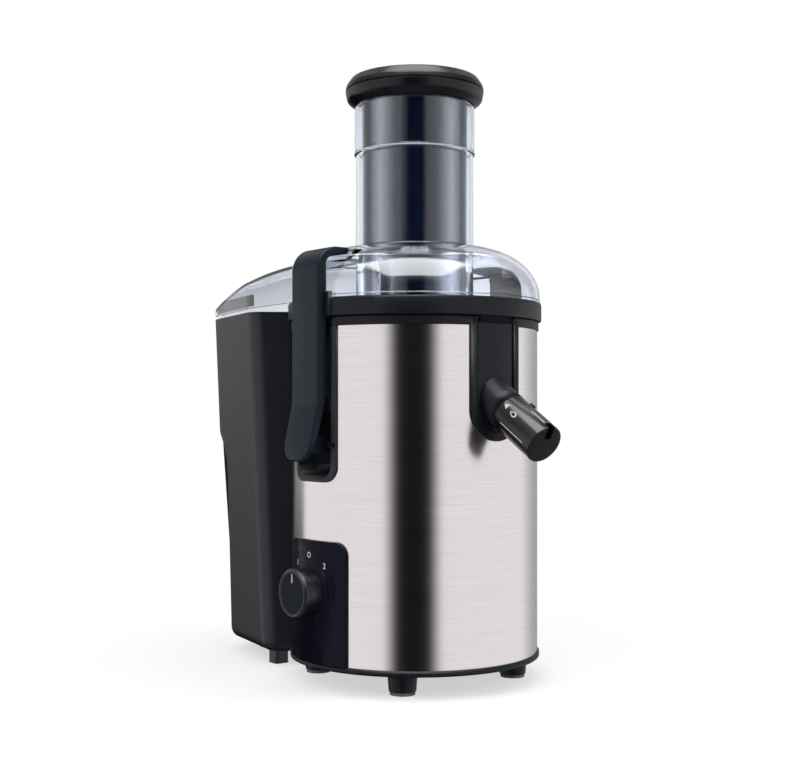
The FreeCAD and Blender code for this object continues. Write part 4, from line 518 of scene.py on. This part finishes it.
def hoodSolid(name, depth):
    # Walls on the bin's rim under a roof curved both ways: circles about the X axis, radius from the ridge's own arc.
    corners = lid["hoodHalf"] + [(x, -y, r) for x, y, r in reversed(lid["hoodHalf"])]
    walls = prism(name, roundedLine(insetCorners(corners, depth), steps=20), "z", lid["seat"] - depth, lid["over"])
    x = np.linspace(lid["roofFrom"], lid["roofTo"], 64)
    centre = lid["roof"] - lid["crown"]
    ridge = lid["roof"] - lid["roofRadius"] + np.sqrt((lid["roofRadius"] - depth) ** 2 - x ** 2) - centre
    angle = np.linspace(0, 2 * math.pi, 512, endpoint=False)
    rows = np.stack([x[:, None] + 0 * angle, ridge[:, None] * np.cos(angle),
                     centre + ridge[:, None] * np.sin(angle)], -1)
    return carve(walls, [swept(name + "Roof", rows)], "INTERSECT")


def pocketSolids(name, depth):
    # On each side a block from the pocket's back and floor outwards, and one that thins the skirt below it.
    half = pocket["half"] + depth
    made = []
    for side in (-1, 1):
        near, far = sorted((side * (pocket["back"] - depth), side * pocket["outside"]))
        made.append(box(name, -half, half, near, far, pocket["floor"] - depth, pocket["top"]))
        near, far = sorted((side * (pocket["skirt"] - depth), side * pocket["outside"]))
        made.append(box(name, -half, half, near, far, pocket["skirtFoot"], pocket["skirtTop"]))
    return made


def clearLid():
    # Outer solid less the same solid inset by the wall, then the turned chute joined on and bored.
    around = lid["segments"]
    outer = carve(domeSolid("clearLid", 0), [hoodSolid("hoodOuter", 0)], "UNION")
    hollow = carve(domeSolid("lidHollow", lid["wall"]), [hoodSolid("hoodInner", lid["wall"])], "UNION")
    carve(hollow, pocketSolids("pocketBacking", lid["wall"]))
    carve(outer, [*pocketSolids("pocket", 0), hollow])
    carve(outer, [turned("chuteTube", roundedLine(chute["wallLine"], steps=5), around),
                  turned("chuteFoot", roundedLine(chute["footLine"], steps=8), around)], "UNION")
    carve(outer, [drum("chuteBore", chute["bore"], chute["boreFoot"], chute["boreTop"], around)])
    dress(outer, "base", "clear_plastic", "clear_plastic", "lid", "feed_chute")
    # The bead's pale ring over the clear chute is a painted highlight.
    bead = turned("chuteBead", roundedLine(chute["beadLine"], steps=4), around)
    dress(bead, "base", "frosted_plastic", "clear_plastic", "feed_chute")


clearLid()
print("lid made")

# Food pusher: a smoked cup and a satin cap with a seam groove at its widest.
pusher = {"radius": 35.2, "wall": 2.4, "foot": 249.0, "neck": 388.5, "footRound": 3.0, "innerRound": 2.0,
          "segments": 256,
          "capLine": [(0, 388.6), (35.3, 388.6), (35.3, 381.4), (40.4, 381.4, 0.5), (45.4, 385, 4.5), (46.5, 391, 0.2),
                      (45.6, 391.5), (46.5, 392, 0.2), (45.9, 394.9, 5), (42.6, 399.7, 3), (34, 402.3, 60), (0, 404)]}


def pusherParts():
    # Two profiles (r, z) turned about the axis.
    radius, wall, foot, neck = pusher["radius"], pusher["wall"], pusher["foot"], pusher["neck"]
    cup = roundedLine([(0, foot), (radius, foot, pusher["footRound"]), (radius, neck), (radius - wall, neck),
                       (radius - wall, foot + wall, pusher["innerRound"]), (0, foot + wall)])
    body = turned("pusherCup", cup, pusher["segments"])
    dress(body, "pusher", "smoked_plastic", "smoked_plastic", "pusher_body")
    cap = turned("pusherCap", roundedLine(pusher["capLine"], steps=12), pusher["segments"])
    dress(cap, "pusher", "cap_plastic", "black_plastic", "pusher_cap")


pusherParts()
print("pusher made")

# Locking arms: a strap bent over the lid's edge and flared out at the tail, with a barrel for the pivot pin behind it.
arm = {"half": 15.0, "edge": 1.5, "tailCorner": 13.0, "tailRound": 2.4, "tipCorner": 3.0, "tipRound": 1.8,
       "pivotY": -79.6, "pivotZ": 155.5, "barrel": 5.2, "lugHalf": 9.0, "hole": 2.05, "holeHalf": 20.0,
       "webTopY": -89.5, "webRise": 4.0, "webFootY": -93.0,
       "outerLine": [(-97.2, 145), (-89, 182, 40), (-89, 281, 15), (-64, 281)],
       "innerLine": [(-92.6, 145), (-82, 184, 40), (-82, 274.4, 6), (-64, 277)]}


def eased(distance, radius):
    # A quarter circle: 0 at an end, 1 from one radius inwards.
    return np.sqrt(1 - (1 - np.clip(distance / radius, 0, 1)) ** 2)


def armStrap(name):
    # Rounded rectangles (a, m + b n) across the line m(s) midway between the outer and the inner face.
    outer = roundedLine(arm["outerLine"], False, 16, 14)
    inner = roundedLine(arm["innerLine"], False, 16, 14)
    middle, across = (outer + inner) / 2, (outer - inner) / 2
    along = np.concatenate([[0], np.cumsum(np.linalg.norm(np.diff(middle, axis=0), axis=1))])
    turn = np.linspace(0.05, math.pi / 2, 10)
    tail = arm["tailCorner"] * (1 - np.cos(turn))
    tip = along[-1] - arm["tipCorner"] * (1 - np.cos(turn))[::-1]
    s = np.unique(np.concatenate([tail, along[(along > tail[-1]) & (along < tip[0])], tip]))
    left = along[-1] - s
    m = np.column_stack([np.interp(s, along, middle[:, k]) for k in (0, 1)])
    n = np.column_stack([np.interp(s, along, across[:, k]) for k in (0, 1)])
    thick = np.linalg.norm(n, axis=1)
    n = n / thick[:, None]
    thick = thick * eased(s, arm["tailRound"]) * eased(left, arm["tipRound"])
    wide = arm["half"] - arm["tailCorner"] * (1 - eased(s, arm["tailCorner"])) - arm["tipCorner"] * (
        1 - eased(left, arm["tipCorner"]))
    edge = np.minimum(arm["edge"], np.minimum(thick, wide) * 0.95)[:, None]
    angle = np.concatenate([np.linspace(q, q + 90, 8) for q in (0, 90, 180, 270)]) * math.pi / 180
    signX, signY = np.repeat([1, -1, -1, 1], 8), np.repeat([1, 1, -1, -1], 8)
    a = signX * (wide[:, None] - edge) + edge * np.cos(angle)
    b = signY * (thick[:, None] - edge) + edge * np.sin(angle)
    return swept(name, np.stack([a, m[:, :1] + n[:, :1] * b, m[:, 1:] + n[:, 1:] * b], -1))


def lockingArms():
    # The strap joined to a barrel (y + r cos a, z + r sin a) and a web, drilled for the pin, and its mirror image.
    strap = armStrap("frontArm")
    y, z, r, half = arm["pivotY"], arm["pivotZ"], arm["barrel"], arm["lugHalf"]
    ring = np.linspace(0, 2 * math.pi, 64, endpoint=False)
    barrel = np.column_stack([y + r * np.cos(ring), z + r * np.sin(ring)])
    hole = np.column_stack([y + arm["hole"] * np.cos(ring), z + arm["hole"] * np.sin(ring)])
    web = [(y, z - r), (y, z + r), (arm["webTopY"], z + r + arm["webRise"]), (arm["webFootY"], z - r)]
    carve(strap, [prism("lugBarrel", barrel, "x", -half, half), prism("lugWeb", web, "x", -half, half)], "UNION")
    carve(strap, [prism("pinHole", hole, "x", -arm["holeHalf"], arm["holeHalf"])])
    rear = mirrored("rearArm", strap)
    dress(strap, "front_arm", "arm_plastic", "arm_plastic", "front_arm")
    dress(rear, "rear_arm", "arm_plastic", "arm_plastic", "rear_arm")


lockingArms()
print("arms made")

# Pulp bin: a tapered tub with rounded foot and corners, nested round the base, with a finger hold in the back.
tub = {"floor": 8.5, "rim": 246.0, "wall": 2.4, "nest": 87.0, "edge": 9.0, "round": 27.0, "sideRound": 13.0,
       "footPlan": ((-60, -26), (-86, -64), (-180, -45.3)), "rimPlan": ((-60, -22.5), (-90.5, -73), (-193, -47.8)),
       "leg": 5.5, "legRound": 2.5, "legTop": 9.7, "legSpots": ((-91, -50), (-91, 50), (-148, -22), (-148, 22)),
       "gripTop": 167.0, "gripX": -155.0, "gripSweep": 38.0, "gripLean": 3.4, "gripRound": 36.0,
       "skinOut": 0.03, "skinIn": 0.5, "past": 5.0, "behind": -230.0, "beside": 90.0, "above": 270.0}


def tubSection(z, depth, backRound):
    # The plan at a height: each corner runs from its place at the floor to its place at the rim.
    share = (z - tub["floor"]) / (tub["rim"] - tub["floor"])
    rounds = (0, tub["sideRound"], backRound)
    foot = np.column_stack([tub["footPlan"], rounds])
    rim = np.column_stack([tub["rimPlan"], rounds])
    half = foot + (rim - foot) * share
    corners = np.vstack([half, half[::-1] * (1, -1, 1)])
    plan = roundedLine(insetCorners(corners, depth), steps=14)
    return np.column_stack([plan, np.full(len(plan), z)])


def tubLoft(name, top, depth, lean, backRound):
    # Sections up a quarter circle at the foot, inset by R (1 - sin t), then up to the top while a lean runs out.
    radius = tub["edge"] - depth
    foot = tub["floor"] + depth
    rows = [tubSection(foot + radius * (1 - math.cos(t)), depth + lean + radius * (1 - math.sin(t)), backRound)
            for t in np.linspace(0, math.pi / 2, 12)]
    rows += [tubSection(foot + radius + (top - foot - radius) * s, depth + lean * (1 - s), backRound)
             for s in np.linspace(0, 1, 8)[1:]]
    return swept(name, rows)


def gripZone(depth):
    # What lies behind and below the finger hold's swept edge, in side view.
    edge, top, low, behind = tub["gripX"] + depth, tub["gripTop"] + depth, -tub["past"], tub["behind"]
    return roundedLine([(behind, low), (edge, low), (edge, top, tub["gripSweep"] + depth), (behind, top)], steps=24)


def tubSolid(name, top, depth):
    # The finger hold takes away what lies behind a swept edge and outside a leaning, rounder tub.
    keep = tubLoft(name + "Keep", tub["gripTop"] + depth, depth, tub["gripLean"], tub["gripRound"])
    grip = carve(prism(name + "Grip", gripZone(depth), "y", -tub["beside"], tub["beside"]), [keep])
    nest = drum(name + "Nest", tub["nest"] + depth, -tub["past"], tub["above"], 360)
    return carve(tubLoft(name, top, depth, 0, tub["round"]), [nest, grip])


def pulpBin():
    # The tub with its legs, less the same tub inset by the wall, and a matt skin over the finger hold, painted darker
    # as shade.
    piece = tubSolid("pulpBin", tub["rim"], 0)
    square = squareLine(tub["leg"], tub["legRound"])
    carve(piece, [prism("leg", square + spot, "z", 0, tub["legTop"]) for spot in tub["legSpots"]], "UNION")
    carve(piece, [tubSolid("tubHollow", tub["rim"] + tub["past"], tub["wall"])])
    dress(piece, "bin", "bin_plastic", "bin_plastic", "pulp_bin")
    top, lean, backRound = tub["gripTop"], tub["gripLean"], tub["gripRound"]
    skin = carve(prism("binGrip", gripZone(0), "y", -tub["beside"], tub["beside"]),
                 [tubLoft("gripOuter", top, -tub["skinOut"], lean, backRound)], "INTERSECT")
    carve(skin, [tubLoft("gripInner", top + tub["past"], tub["skinIn"], lean, backRound)])
    dress(skin, "bin", "grip_plastic", "bin_plastic", "pulp_bin")


pulpBin()
print("bin made")

# Speed dial: a drum with a wider bevelled ring and a dished face, turned about an axis that points to the front.
dial = {"seatY": -85.2, "z": 62.0, "radius": 15.8, "waist": 15.1, "ring": 4.4, "bevel": 1.4, "depth": 13.8, "dish": 0.5,
        "lip": 0.7, "bore": 3.05, "boreStop": 3.9, "slot": (-0.6, 0.6, -99.5, -97.7, 68.8, 74.3), "inlayEdge": 1.6,
        "inlayDeep": 0.3, "inlayUp": 0.03, "panel": 84.2, "markRadius": 23.3, "markSize": 5.04, "markTurn": 42.0,
        "markShift": -2.0, "markBold": 0.1, "markLift": 0.04}


def towardsFront(points):
    # (x, y, z) becomes (x, seat - z, height + y).
    x, y, z = points.T
    return np.column_stack([x, dial["seatY"] - z, dial["z"] + y])


def speedKnob():
    # Profiles (r, z) turned about the dial's axis, with a slot for the pointer.
    r, depth, waist = dial["radius"], dial["depth"], dial["waist"]
    foot, face, floor, lip = depth - dial["ring"], r - dial["bevel"], depth - dial["dish"], dial["lip"]
    profile = roundedLine([(0, 0), (waist, 0, 0.3), (waist, foot), (r, foot, 0.4), (r, depth - dial["bevel"], 0.5),
                           (face, depth, 0.3), (face - lip, depth, 0.2), (face - 2 * lip, floor, 0.2), (0, floor)])
    piece = turned("speedKnob", profile, 160, place=towardsFront)
    bore = drum("knobBore", dial["bore"], -1, depth - dial["boreStop"], 64, towardsFront)
    carve(piece, [box("pointerSlot", *dial["slot"]), bore])
    dress(piece, "dial", "dial_plastic", "black_plastic", "speed_knob")
    disc = drum("knobFace", face - dial["inlayEdge"], floor - dial["inlayDeep"], floor + dial["inlayUp"], 160,
                towardsFront)
    carve(disc, [box("faceSlot", *dial["slot"])])
    dress(disc, "dial", "face_plastic", "black_plastic", "speed_knob")


def panelMarks():
    # Plain numbers printed round the dial; a mark's point (u, v) wraps round the panel: x = R sin(u / R).
    skin = dial["panel"] + dial["markLift"]
    points, faces, used = [], [], 0
    for sign, angle in (("1", -dial["markTurn"]), ("O", 0.0), ("2", dial["markTurn"])):
        text = bpy.data.curves.new("mark" + sign, "FONT")
        text.body = sign
        text.size = dial["markSize"]
        text.align_x = "CENTER"
        text.align_y = "CENTER"
        text.offset = dial["markBold"]
        shown = bpy.data.objects.new("mark" + sign, text)
        scene.collection.objects.link(shown)
        bpy.context.view_layer.update()
        flat = bpy.data.meshes.new_from_object(shown.evaluated_get(bpy.context.evaluated_depsgraph_get()))
        bpy.data.objects.remove(shown)
        spots = np.empty(len(flat.vertices) * 3, np.float32)
        flat.vertices.foreach_get("co", spots)
        spots = spots.reshape(-1, 3).astype(float)
        turn = math.radians(angle)
        u = spots[:, 0] + dial["markRadius"] * math.sin(turn) + dial["markShift"]
        v = spots[:, 1] + dial["markRadius"] * math.cos(turn)
        points.append(np.column_stack([skin * np.sin(u / skin), -skin * np.cos(u / skin), dial["z"] + v]))
        faces += [[used + k for k in face.vertices] for face in flat.polygons]
        used += len(spots)
    piece = meshPiece("panelMarks", np.concatenate(points), faces)
    dress(piece, "base", "mark_print", "panel_plastic", "control_panel")


speedKnob()
panelMarks()
print("dial made")

# Drip-stop nozzle: a cup turned about the spout's own axis, with a notch, a finger bump and printed marks.
nozzle = {"tilt": math.radians(31.7), "end": (125.4, 0.0, 156.7), "radius": 12.5, "length": 36.0, "disc": 2.2,
          "bore": 9.68, "notchHalf": 2.6, "notchFoot": 4.0, "notchDeep": 4.8, "bump": 2.2, "bumpTop": 13.7,
          "bumpSink": 2.0, "bumpBack": 27.0, "bumpTurn": math.radians(-32), "past": 2.0, "markLift": 0.03,
          "arrow": (3.6, 2.0, 50.5, 30.6), "drop": (2.9, 2.1, 56.0, 23.8), "dropInner": 0.62,
          "lines": ((23.0, 100.5, 6.2), (13.0, 9.0, 5.3)), "lineHalf": 0.3}


def alongSpout(points):
    # Local x points up across the spout, y to the front and z out along it.
    c, s = math.cos(nozzle["tilt"]), math.sin(nozzle["tilt"])
    x, y, z = points.T
    return np.column_stack([s * x + c * z, -y, c * x - s * z]) + nozzle["end"]


def fromNozzle(points):
    # Local z points out of the cup's wall where the finger bump stands.
    c, s = math.cos(nozzle["bumpTurn"]), math.sin(nozzle["bumpTurn"])
    x, y, z = points.T
    return alongSpout(np.column_stack([c * z - s * x, s * z + c * x, y - nozzle["bumpBack"]]))


def spoutNozzle():
    # A profile (r, z) turned about the spout's axis, less the notch, and a small turned bump on its wall.
    r, length, disc, past = nozzle["radius"], nozzle["length"], nozzle["disc"], nozzle["past"]
    profile = roundedLine([(0, 0), (0, -disc), (nozzle["bore"], -disc), (nozzle["bore"], -length), (r, -length, 0.5),
                           (r, 0, 0.9)], steps=6)
    piece = turned("spoutNozzle", profile, 192, place=alongSpout)
    h, foot = nozzle["notchHalf"], nozzle["notchFoot"]
    notch = prism("nozzleNotch", [(foot, -h), (r + past, -h), (r + past, h), (foot, h)], "z", -nozzle["notchDeep"],
                  past, place=alongSpout)
    low, high = r - nozzle["bumpSink"], nozzle["bumpTop"]
    bump = roundedLine([(0, low), (nozzle["bump"], low), (nozzle["bump"], high, 0.8), (0, high)])
    carve(piece, [notch])
    carve(piece, [turned("nozzleBump", bump, 48, place=fromNozzle)], "UNION")
    dress(piece, "nozzle", "nozzle_plastic", "bowl_plastic", "spout_nozzle")


def nozzleMarks():
    # Printed on the cup, each wrapped round it at an angle from its top: an arrow head, a drop's outline and two lines.
    # Every mark is a strip of rows between two edges (distance, width), and a row holds 7 points from edge to edge:
    # (r cos a, r sin a, -distance), where a is the mark's angle + width / r.
    skin = nozzle["radius"] + nozzle["markLift"]
    share = np.linspace(0, 1, 7)
    t = np.linspace(0, 2 * math.pi, 49)
    long, wide, turn, distance = nozzle["arrow"]
    head = np.linspace(0, 1, 9)
    edge = np.column_stack([long * head, wide * (head - 1)])
    marks = [(edge, edge * (1, -1), turn, distance)]
    long, wide, turn, distance = nozzle["drop"]
    drop = np.column_stack([long * np.cos(t), wide * np.sin(t) * np.sin(t / 2) ** 0.8])
    marks.append((drop, drop * nozzle["dropInner"], turn, distance))
    for long, turn, distance in nozzle["lines"]:
        edge = np.array([(0, -nozzle["lineHalf"]), (long, -nozzle["lineHalf"])])
        marks.append((edge, edge * (1, -1), turn, distance))
    points, faces, used = [], [], 0
    for first, second, turn, distance in marks:
        rows = first[:, None] + (second - first)[:, None] * share[:, None]
        flat = rows.reshape(-1, 2)
        angle = math.radians(turn) + flat[:, 1] / skin
        points.append(np.column_stack([skin * np.cos(angle), skin * np.sin(angle), -distance - flat[:, 0]]))
        faces += (np.array(gridFaces(len(rows), len(share), wrapColumns=False)) + used).tolist()
        used += len(flat)
    piece = meshPiece("nozzleMarks", np.concatenate(points), faces, place=alongSpout)
    dress(piece, "nozzle", "mark_print", "bowl_plastic", "spout_nozzle")


plate = {"half": 14.4, "foot": 164.1, "top": 231.9, "inner": 82.2, "outer": 82.64, "bore": 7.8, "low": 150.0,
         "high": 240.0, "near": 70.0, "far": 90.0}


def spoutPlate():
    # The bowl's plate behind the spout: a skin on the bowl's radius inside the slot, open at the spout's bore.
    p = plate
    piece = prism("spoutPlate", slotOutline(p["half"], p["foot"], p["top"]), "x", p["near"], p["far"])
    skin = [(p["inner"], p["low"]), (p["outer"], p["low"]), (p["outer"], p["high"]), (p["inner"], p["high"])]
    carve(piece, [turned("plateSkin", skin, 720)], "INTERSECT")
    carve(piece, [drum("plateBore", p["bore"], -p["far"], 0, 96, alongSpout)])
    dress(piece, "base", "bowl_plastic", "bowl_plastic", "filter_bowl")


spoutNozzle()
nozzleMarks()
spoutPlate()
print("nozzle made")

# Outside mouldings that keep the CAD's own surfaces, merged and smoothed.
for name, node, slotName in (
        ("basePlate", "base_plate", "black_plastic"), ("footPads", "foot_pads", "pad_rubber"),
        ("motorHousing", "motor_housing", "black_plastic"), ("motorDeck", "motor_deck", "black_plastic"),
        ("housingTrim", "housing_trim", "black_plastic"), ("juiceSpout", "juice_spout", "bowl_plastic"),
        # The wells wear the lightened well material: painted light in their shaded hollows.
        ("frontWell", "front_arm_well", "well_plastic"), ("rearWell", "rear_arm_well", "well_plastic"),
        ("controlPanel", "control_panel", "panel_plastic"), ("filterBowl", "filter_bowl", "bowl_plastic"),
        ("cordGland", "cord_gland", "black_plastic")):
    smoothCopy(name, node, slotName, slotName)
smoothCopy("hoodSeal", "hood_seal", "hood_rubber", "seal_rubber")
print("smooth copies made")

# Studio: white ground that fades out into a white surround, and level soft light.
towardsCamera = Vector((0.790, -0.613, 0.0))
rightOfCamera = Vector((0.613, 0.790, 0.0))
axisPoint = Vector((axisX * 0.001, 0, 0))

# Turns are in degrees to the left of the camera's side. Bands hold grey levels over (1 + cos a) / 2. Edges name a
# measure of the ray's direction, the value where a mask begins and the value where it is full.
studio = {
    "ambient": 0.6, "ground": 0.25, "softbox": 8.0, "stripLight": 5.0, "smallLamp": 2.2, "flag": 3.0, "deepFlag": 9.0,
    "wallsFrom": 5.0, "wallsTo": 7.0, "bow": 2.85, "mirrorTurn": 2.1, "throughTurn": -2.5, "leftTurn": 155.0,
    "mirrorBand": ((0.0, 0.35), (0.117, 0.55), (0.27, 1.0), (0.947, 1.0), (0.982, 0.0), (1.0, 0.0)),
    "upperBand": ((0.0, 0.5), (0.3, 0.4), (0.55, 0.45), (0.72, 1.0), (0.947, 1.0), (0.982, 0.0), (1.0, 0.0)),
    "throughBand": ((0.0, 0.4), (0.06, 0.4), (0.13, 0.16), (0.3, 0.03), (0.6, 1.0), (0.85, 0.2), (0.95, 0.08),
                    (0.964, 0.08), (0.984, 0.0), (1.0, 0.0)),
    "upperEdges": (("height", 0.14, 0.26),), "groundEdges": (("height", -0.35, -0.6),),
    "topEdges": (("height", 0.58, 0.74),), "throughTopEdges": (("height", 0.45, 0.62),),
    "leftEdges": (("left", 0.84, 0.9), ("height", 0.05, -0.14)),
    "softboxEdges": (("ahead", -0.1, -0.05), ("ahead", 1.1, 1.05), ("across", -0.62, -0.5), ("across", 0.62, 0.5),
                     ("height", 0.58, 0.7)),
    "rearEdges": (("ahead", -3.14, -3.08), ("ahead", -0.06, -0.12), ("across", -0.6, -0.42), ("across", 0.6, 0.42),
                  ("height", 0.25, 0.35)),
    "stripEdges": (("bow", -0.38, -0.33), ("bow", -0.2, -0.25)),
    "lampEdges": (("ahead", -3.12, -3.05), ("ahead", -0.68, -0.75), ("across", -0.15, -0.1), ("across", 0.15, 0.1)),
}


def studioWorld():
    # Over the level angle a from the camera's side: the camera sees plain white. Mirror rays see white with a dark
    # strip behind the camera, low grey flags behind the object and dark ground. Rays through clear mouldings see white
    # straight behind, flags beside that, brighter after four walls, and the same dark strip when they come back. Both
    # see a bright softbox overhead, a rectangle in the directions (ahead / up, across / up); behind it mirror rays see
    # a dark flag with a bowed strip light, ahead / up = -0.29 - 2.85 (across / up)^2, and a small lamp. The rest is
    # even ambient light.
    world = bpy.data.worlds.new("studioWorld")
    scene.world = world
    world.use_nodes = True
    tree = world.node_tree
    tree.nodes.clear()
    ray = addNode(tree, "LightPath").outputs
    look = addNode(tree, "TexCoord").outputs["Generated"]
    height = addNode(tree, "SeparateXYZ", None, {0: look}).outputs["Z"]
    flat = addNode(tree, "VectorMath", {1: (1, 1, 0)}, {0: look}, operation="MULTIPLY").outputs[0]
    flat = addNode(tree, "VectorMath", None, {0: flat}, operation="NORMALIZE").outputs[0]

    def cosine(turn):
        # Of the level angle from the camera's side, turned to the left.
        middle = towardsCamera * math.cos(math.radians(turn)) - rightOfCamera * math.sin(math.radians(turn))
        return addNode(tree, "VectorMath", {1: middle}, {0: flat}, operation="DOT_PRODUCT").outputs["Value"]

    def band(turn, levels):
        share = addNode(tree, "MapRange", {"From Min": -1, "From Max": 1}, {"Value": cosine(turn)})
        stops = [(position, grey(level)) for position, level in levels]
        return addNode(tree, "ValToRGB", None, {"Fac": share.outputs[0]}, stops).outputs[0]

    def overUp(direction):
        part = addNode(tree, "VectorMath", {1: direction}, {0: look}, operation="DOT_PRODUCT").outputs["Value"]
        return addNode(tree, "Math", None, {0: part, 1: height}, operation="DIVIDE").outputs[0]

    ahead, across = overUp(towardsCamera), overUp(rightOfCamera)
    square = addNode(tree, "Math", None, {0: across, 1: across}, operation="MULTIPLY").outputs[0]
    bow = addNode(tree, "Math", {1: studio["bow"]}, {0: square, 2: ahead}, operation="MULTIPLY_ADD").outputs[0]
    measures = {"height": height, "ahead": ahead, "across": across, "bow": bow, "left": cosine(studio["leftTurn"])}

    def mask(*names):
        # The product of the ramps at all the edges under those names: each rises to what the one before it gives.
        rise = {}
        for measure, begins, full in sum((studio[name + "Edges"] for name in names), ()):
            links = {"Value": measures[measure], **rise}
            rise = {"To Max": addNode(tree, "MapRange", {"From Min": begins, "From Max": full}, links).outputs[0]}
        return rise["To Max"]

    def layered(colour, *layers):
        # Each layer (mask, grey level or colour) covers what is below it as far as its mask goes.
        for share, over in layers:
            sides = {6: colour, 7: over}
            fixed = {key: grey(side) for key, side in sides.items() if isinstance(side, float)}
            linked = {key: side for key, side in sides.items() if key not in fixed}
            colour = addNode(tree, "Mix", fixed, {"Factor": share, **linked}, data_type="RGBA").outputs[2]
        return colour

    softbox = mask("softbox")
    mirror = layered(band(studio["mirrorTurn"], studio["mirrorBand"]),
                     (mask("upper"), band(studio["mirrorTurn"], studio["upperBand"])),
                     (mask("ground"), studio["ground"]), (mask("left"), 0.0), (mask("top"), 1.0), (mask("rear"), 0.0),
                     (mask("rear", "strip"), studio["stripLight"]), (mask("rear", "lamp"), studio["smallLamp"]),
                     (softbox, studio["softbox"]))
    walls = addNode(tree, "MapRange", {"From Min": studio["wallsFrom"], "From Max": studio["wallsTo"],
                                       "To Min": studio["flag"], "To Max": studio["deepFlag"]},
                    {"Value": ray["Transmission Depth"]}).outputs[0]
    through = addNode(tree, "VectorMath", None, {0: band(studio["throughTurn"], studio["throughBand"]), "Scale": walls},
                      operation="SCALE").outputs[0]
    through = layered(through, (mask("throughTop"), 1.0), (softbox, studio["softbox"]))
    seen = layered(studio["ambient"], (ray["Is Glossy Ray"], mirror), (ray["Is Transmission Ray"], through),
                   (ray["Is Camera Ray"], 1.0))
    light = addNode(tree, "Background", {"Strength": 1.0}, {"Color": seen})
    addNode(tree, "OutputWorld", None, {0: light.outputs[0]})


# Each lamp's place in metres to the right, ahead and up, its size in metres and its power in watts.
lamps = {"keyLamp": (-1.1, 0.7, 1.0, 0.9, 3.4), "fillLamp": (1.2, 0.6, 0.8, 0.9, 2.2),
         "topLamp": (0.0, -0.1, 1.6, 1.2, 4.5)}
lampAim = Vector((0, 0, 0.2))


def studioLamps():
    for name, (across, ahead, height, size, power) in lamps.items():
        data = bpy.data.lights.new(name, "AREA")
        data.shape = "DISK"
        data.size = size
        data.energy = power
        lamp = bpy.data.objects.new(name, data)
        lamp.location = axisPoint + rightOfCamera * across + towardsCamera * ahead + Vector((0, 0, height))
        lamp.rotation_euler = (axisPoint + lampAim - lamp.location).to_track_quat("-Z", "Y").to_euler()
        lamp.visible_glossy = False
        lamp.visible_transmission = False
        lamp.visible_camera = False
        scene.collection.objects.link(lamp)


ground = {"half": 1000.0, "colour": "#C4C4C4", "fadeFrom": 0.45, "fadeTo": 0.9, "lift": 0.58}


def studioFloor():
    # Pale matt paper: it holds a soft shadow, and turns clear further out, where the white surround takes over.
    half = ground["half"]
    floor = meshPiece("floor", [(-half, -half, 0), (half, -half, 0), (half, half, 0), (-half, half, 0)], [[0, 1, 2, 3]])
    made, tree, shader = newMaterial("mattPaperGround", {"Base Color": hexColour(ground["colour"]), "Roughness": 0.9,
                                                         "Specular IOR Level": 0.0, "Emission Color": grey(1.0)})
    spot = addNode(tree, "TexCoord").outputs["Object"]
    away = addNode(tree, "VectorMath", None, {0: spot}, operation="LENGTH")
    fade = addNode(tree, "MapRange", {"From Min": ground["fadeFrom"], "From Max": ground["fadeTo"], "To Min": 1.0,
                                      "To Max": 0.0}, {"Value": away.outputs["Value"]})
    camera = addNode(tree, "LightPath").outputs["Is Camera Ray"]
    lift = addNode(tree, "Math", {1: ground["lift"]}, {0: camera}, operation="MULTIPLY")
    joinShader(tree, shader, {"Emission Strength": lift, "Alpha": fade})
    floor.data.materials.append(made)
    floor.visible_glossy = False


# The photograph's place, in metres, and its lens: it looks level and a little from the front of the spout's side.
view = {"away": 0.9, "left": 0.00984, "height": 0.177, "turn": 52.19, "sensor": 36.0, "lens": 60.08, "shiftUp": 0.03875}


def studioCamera():
    data = bpy.data.cameras.new("camera")
    data.sensor_width = view["sensor"]
    data.lens = view["lens"]
    data.shift_y = view["shiftUp"]
    camera = bpy.data.objects.new("camera", data)
    camera.location = (axisPoint + towardsCamera * view["away"] - rightOfCamera * view["left"]
                       + Vector((0, 0, view["height"])))
    camera.rotation_euler = (math.radians(90), 0, math.radians(view["turn"]))
    scene.collection.objects.link(camera)
    scene.camera = camera


studioWorld()
studioLamps()
studioFloor()
studioCamera()
print("studio made")
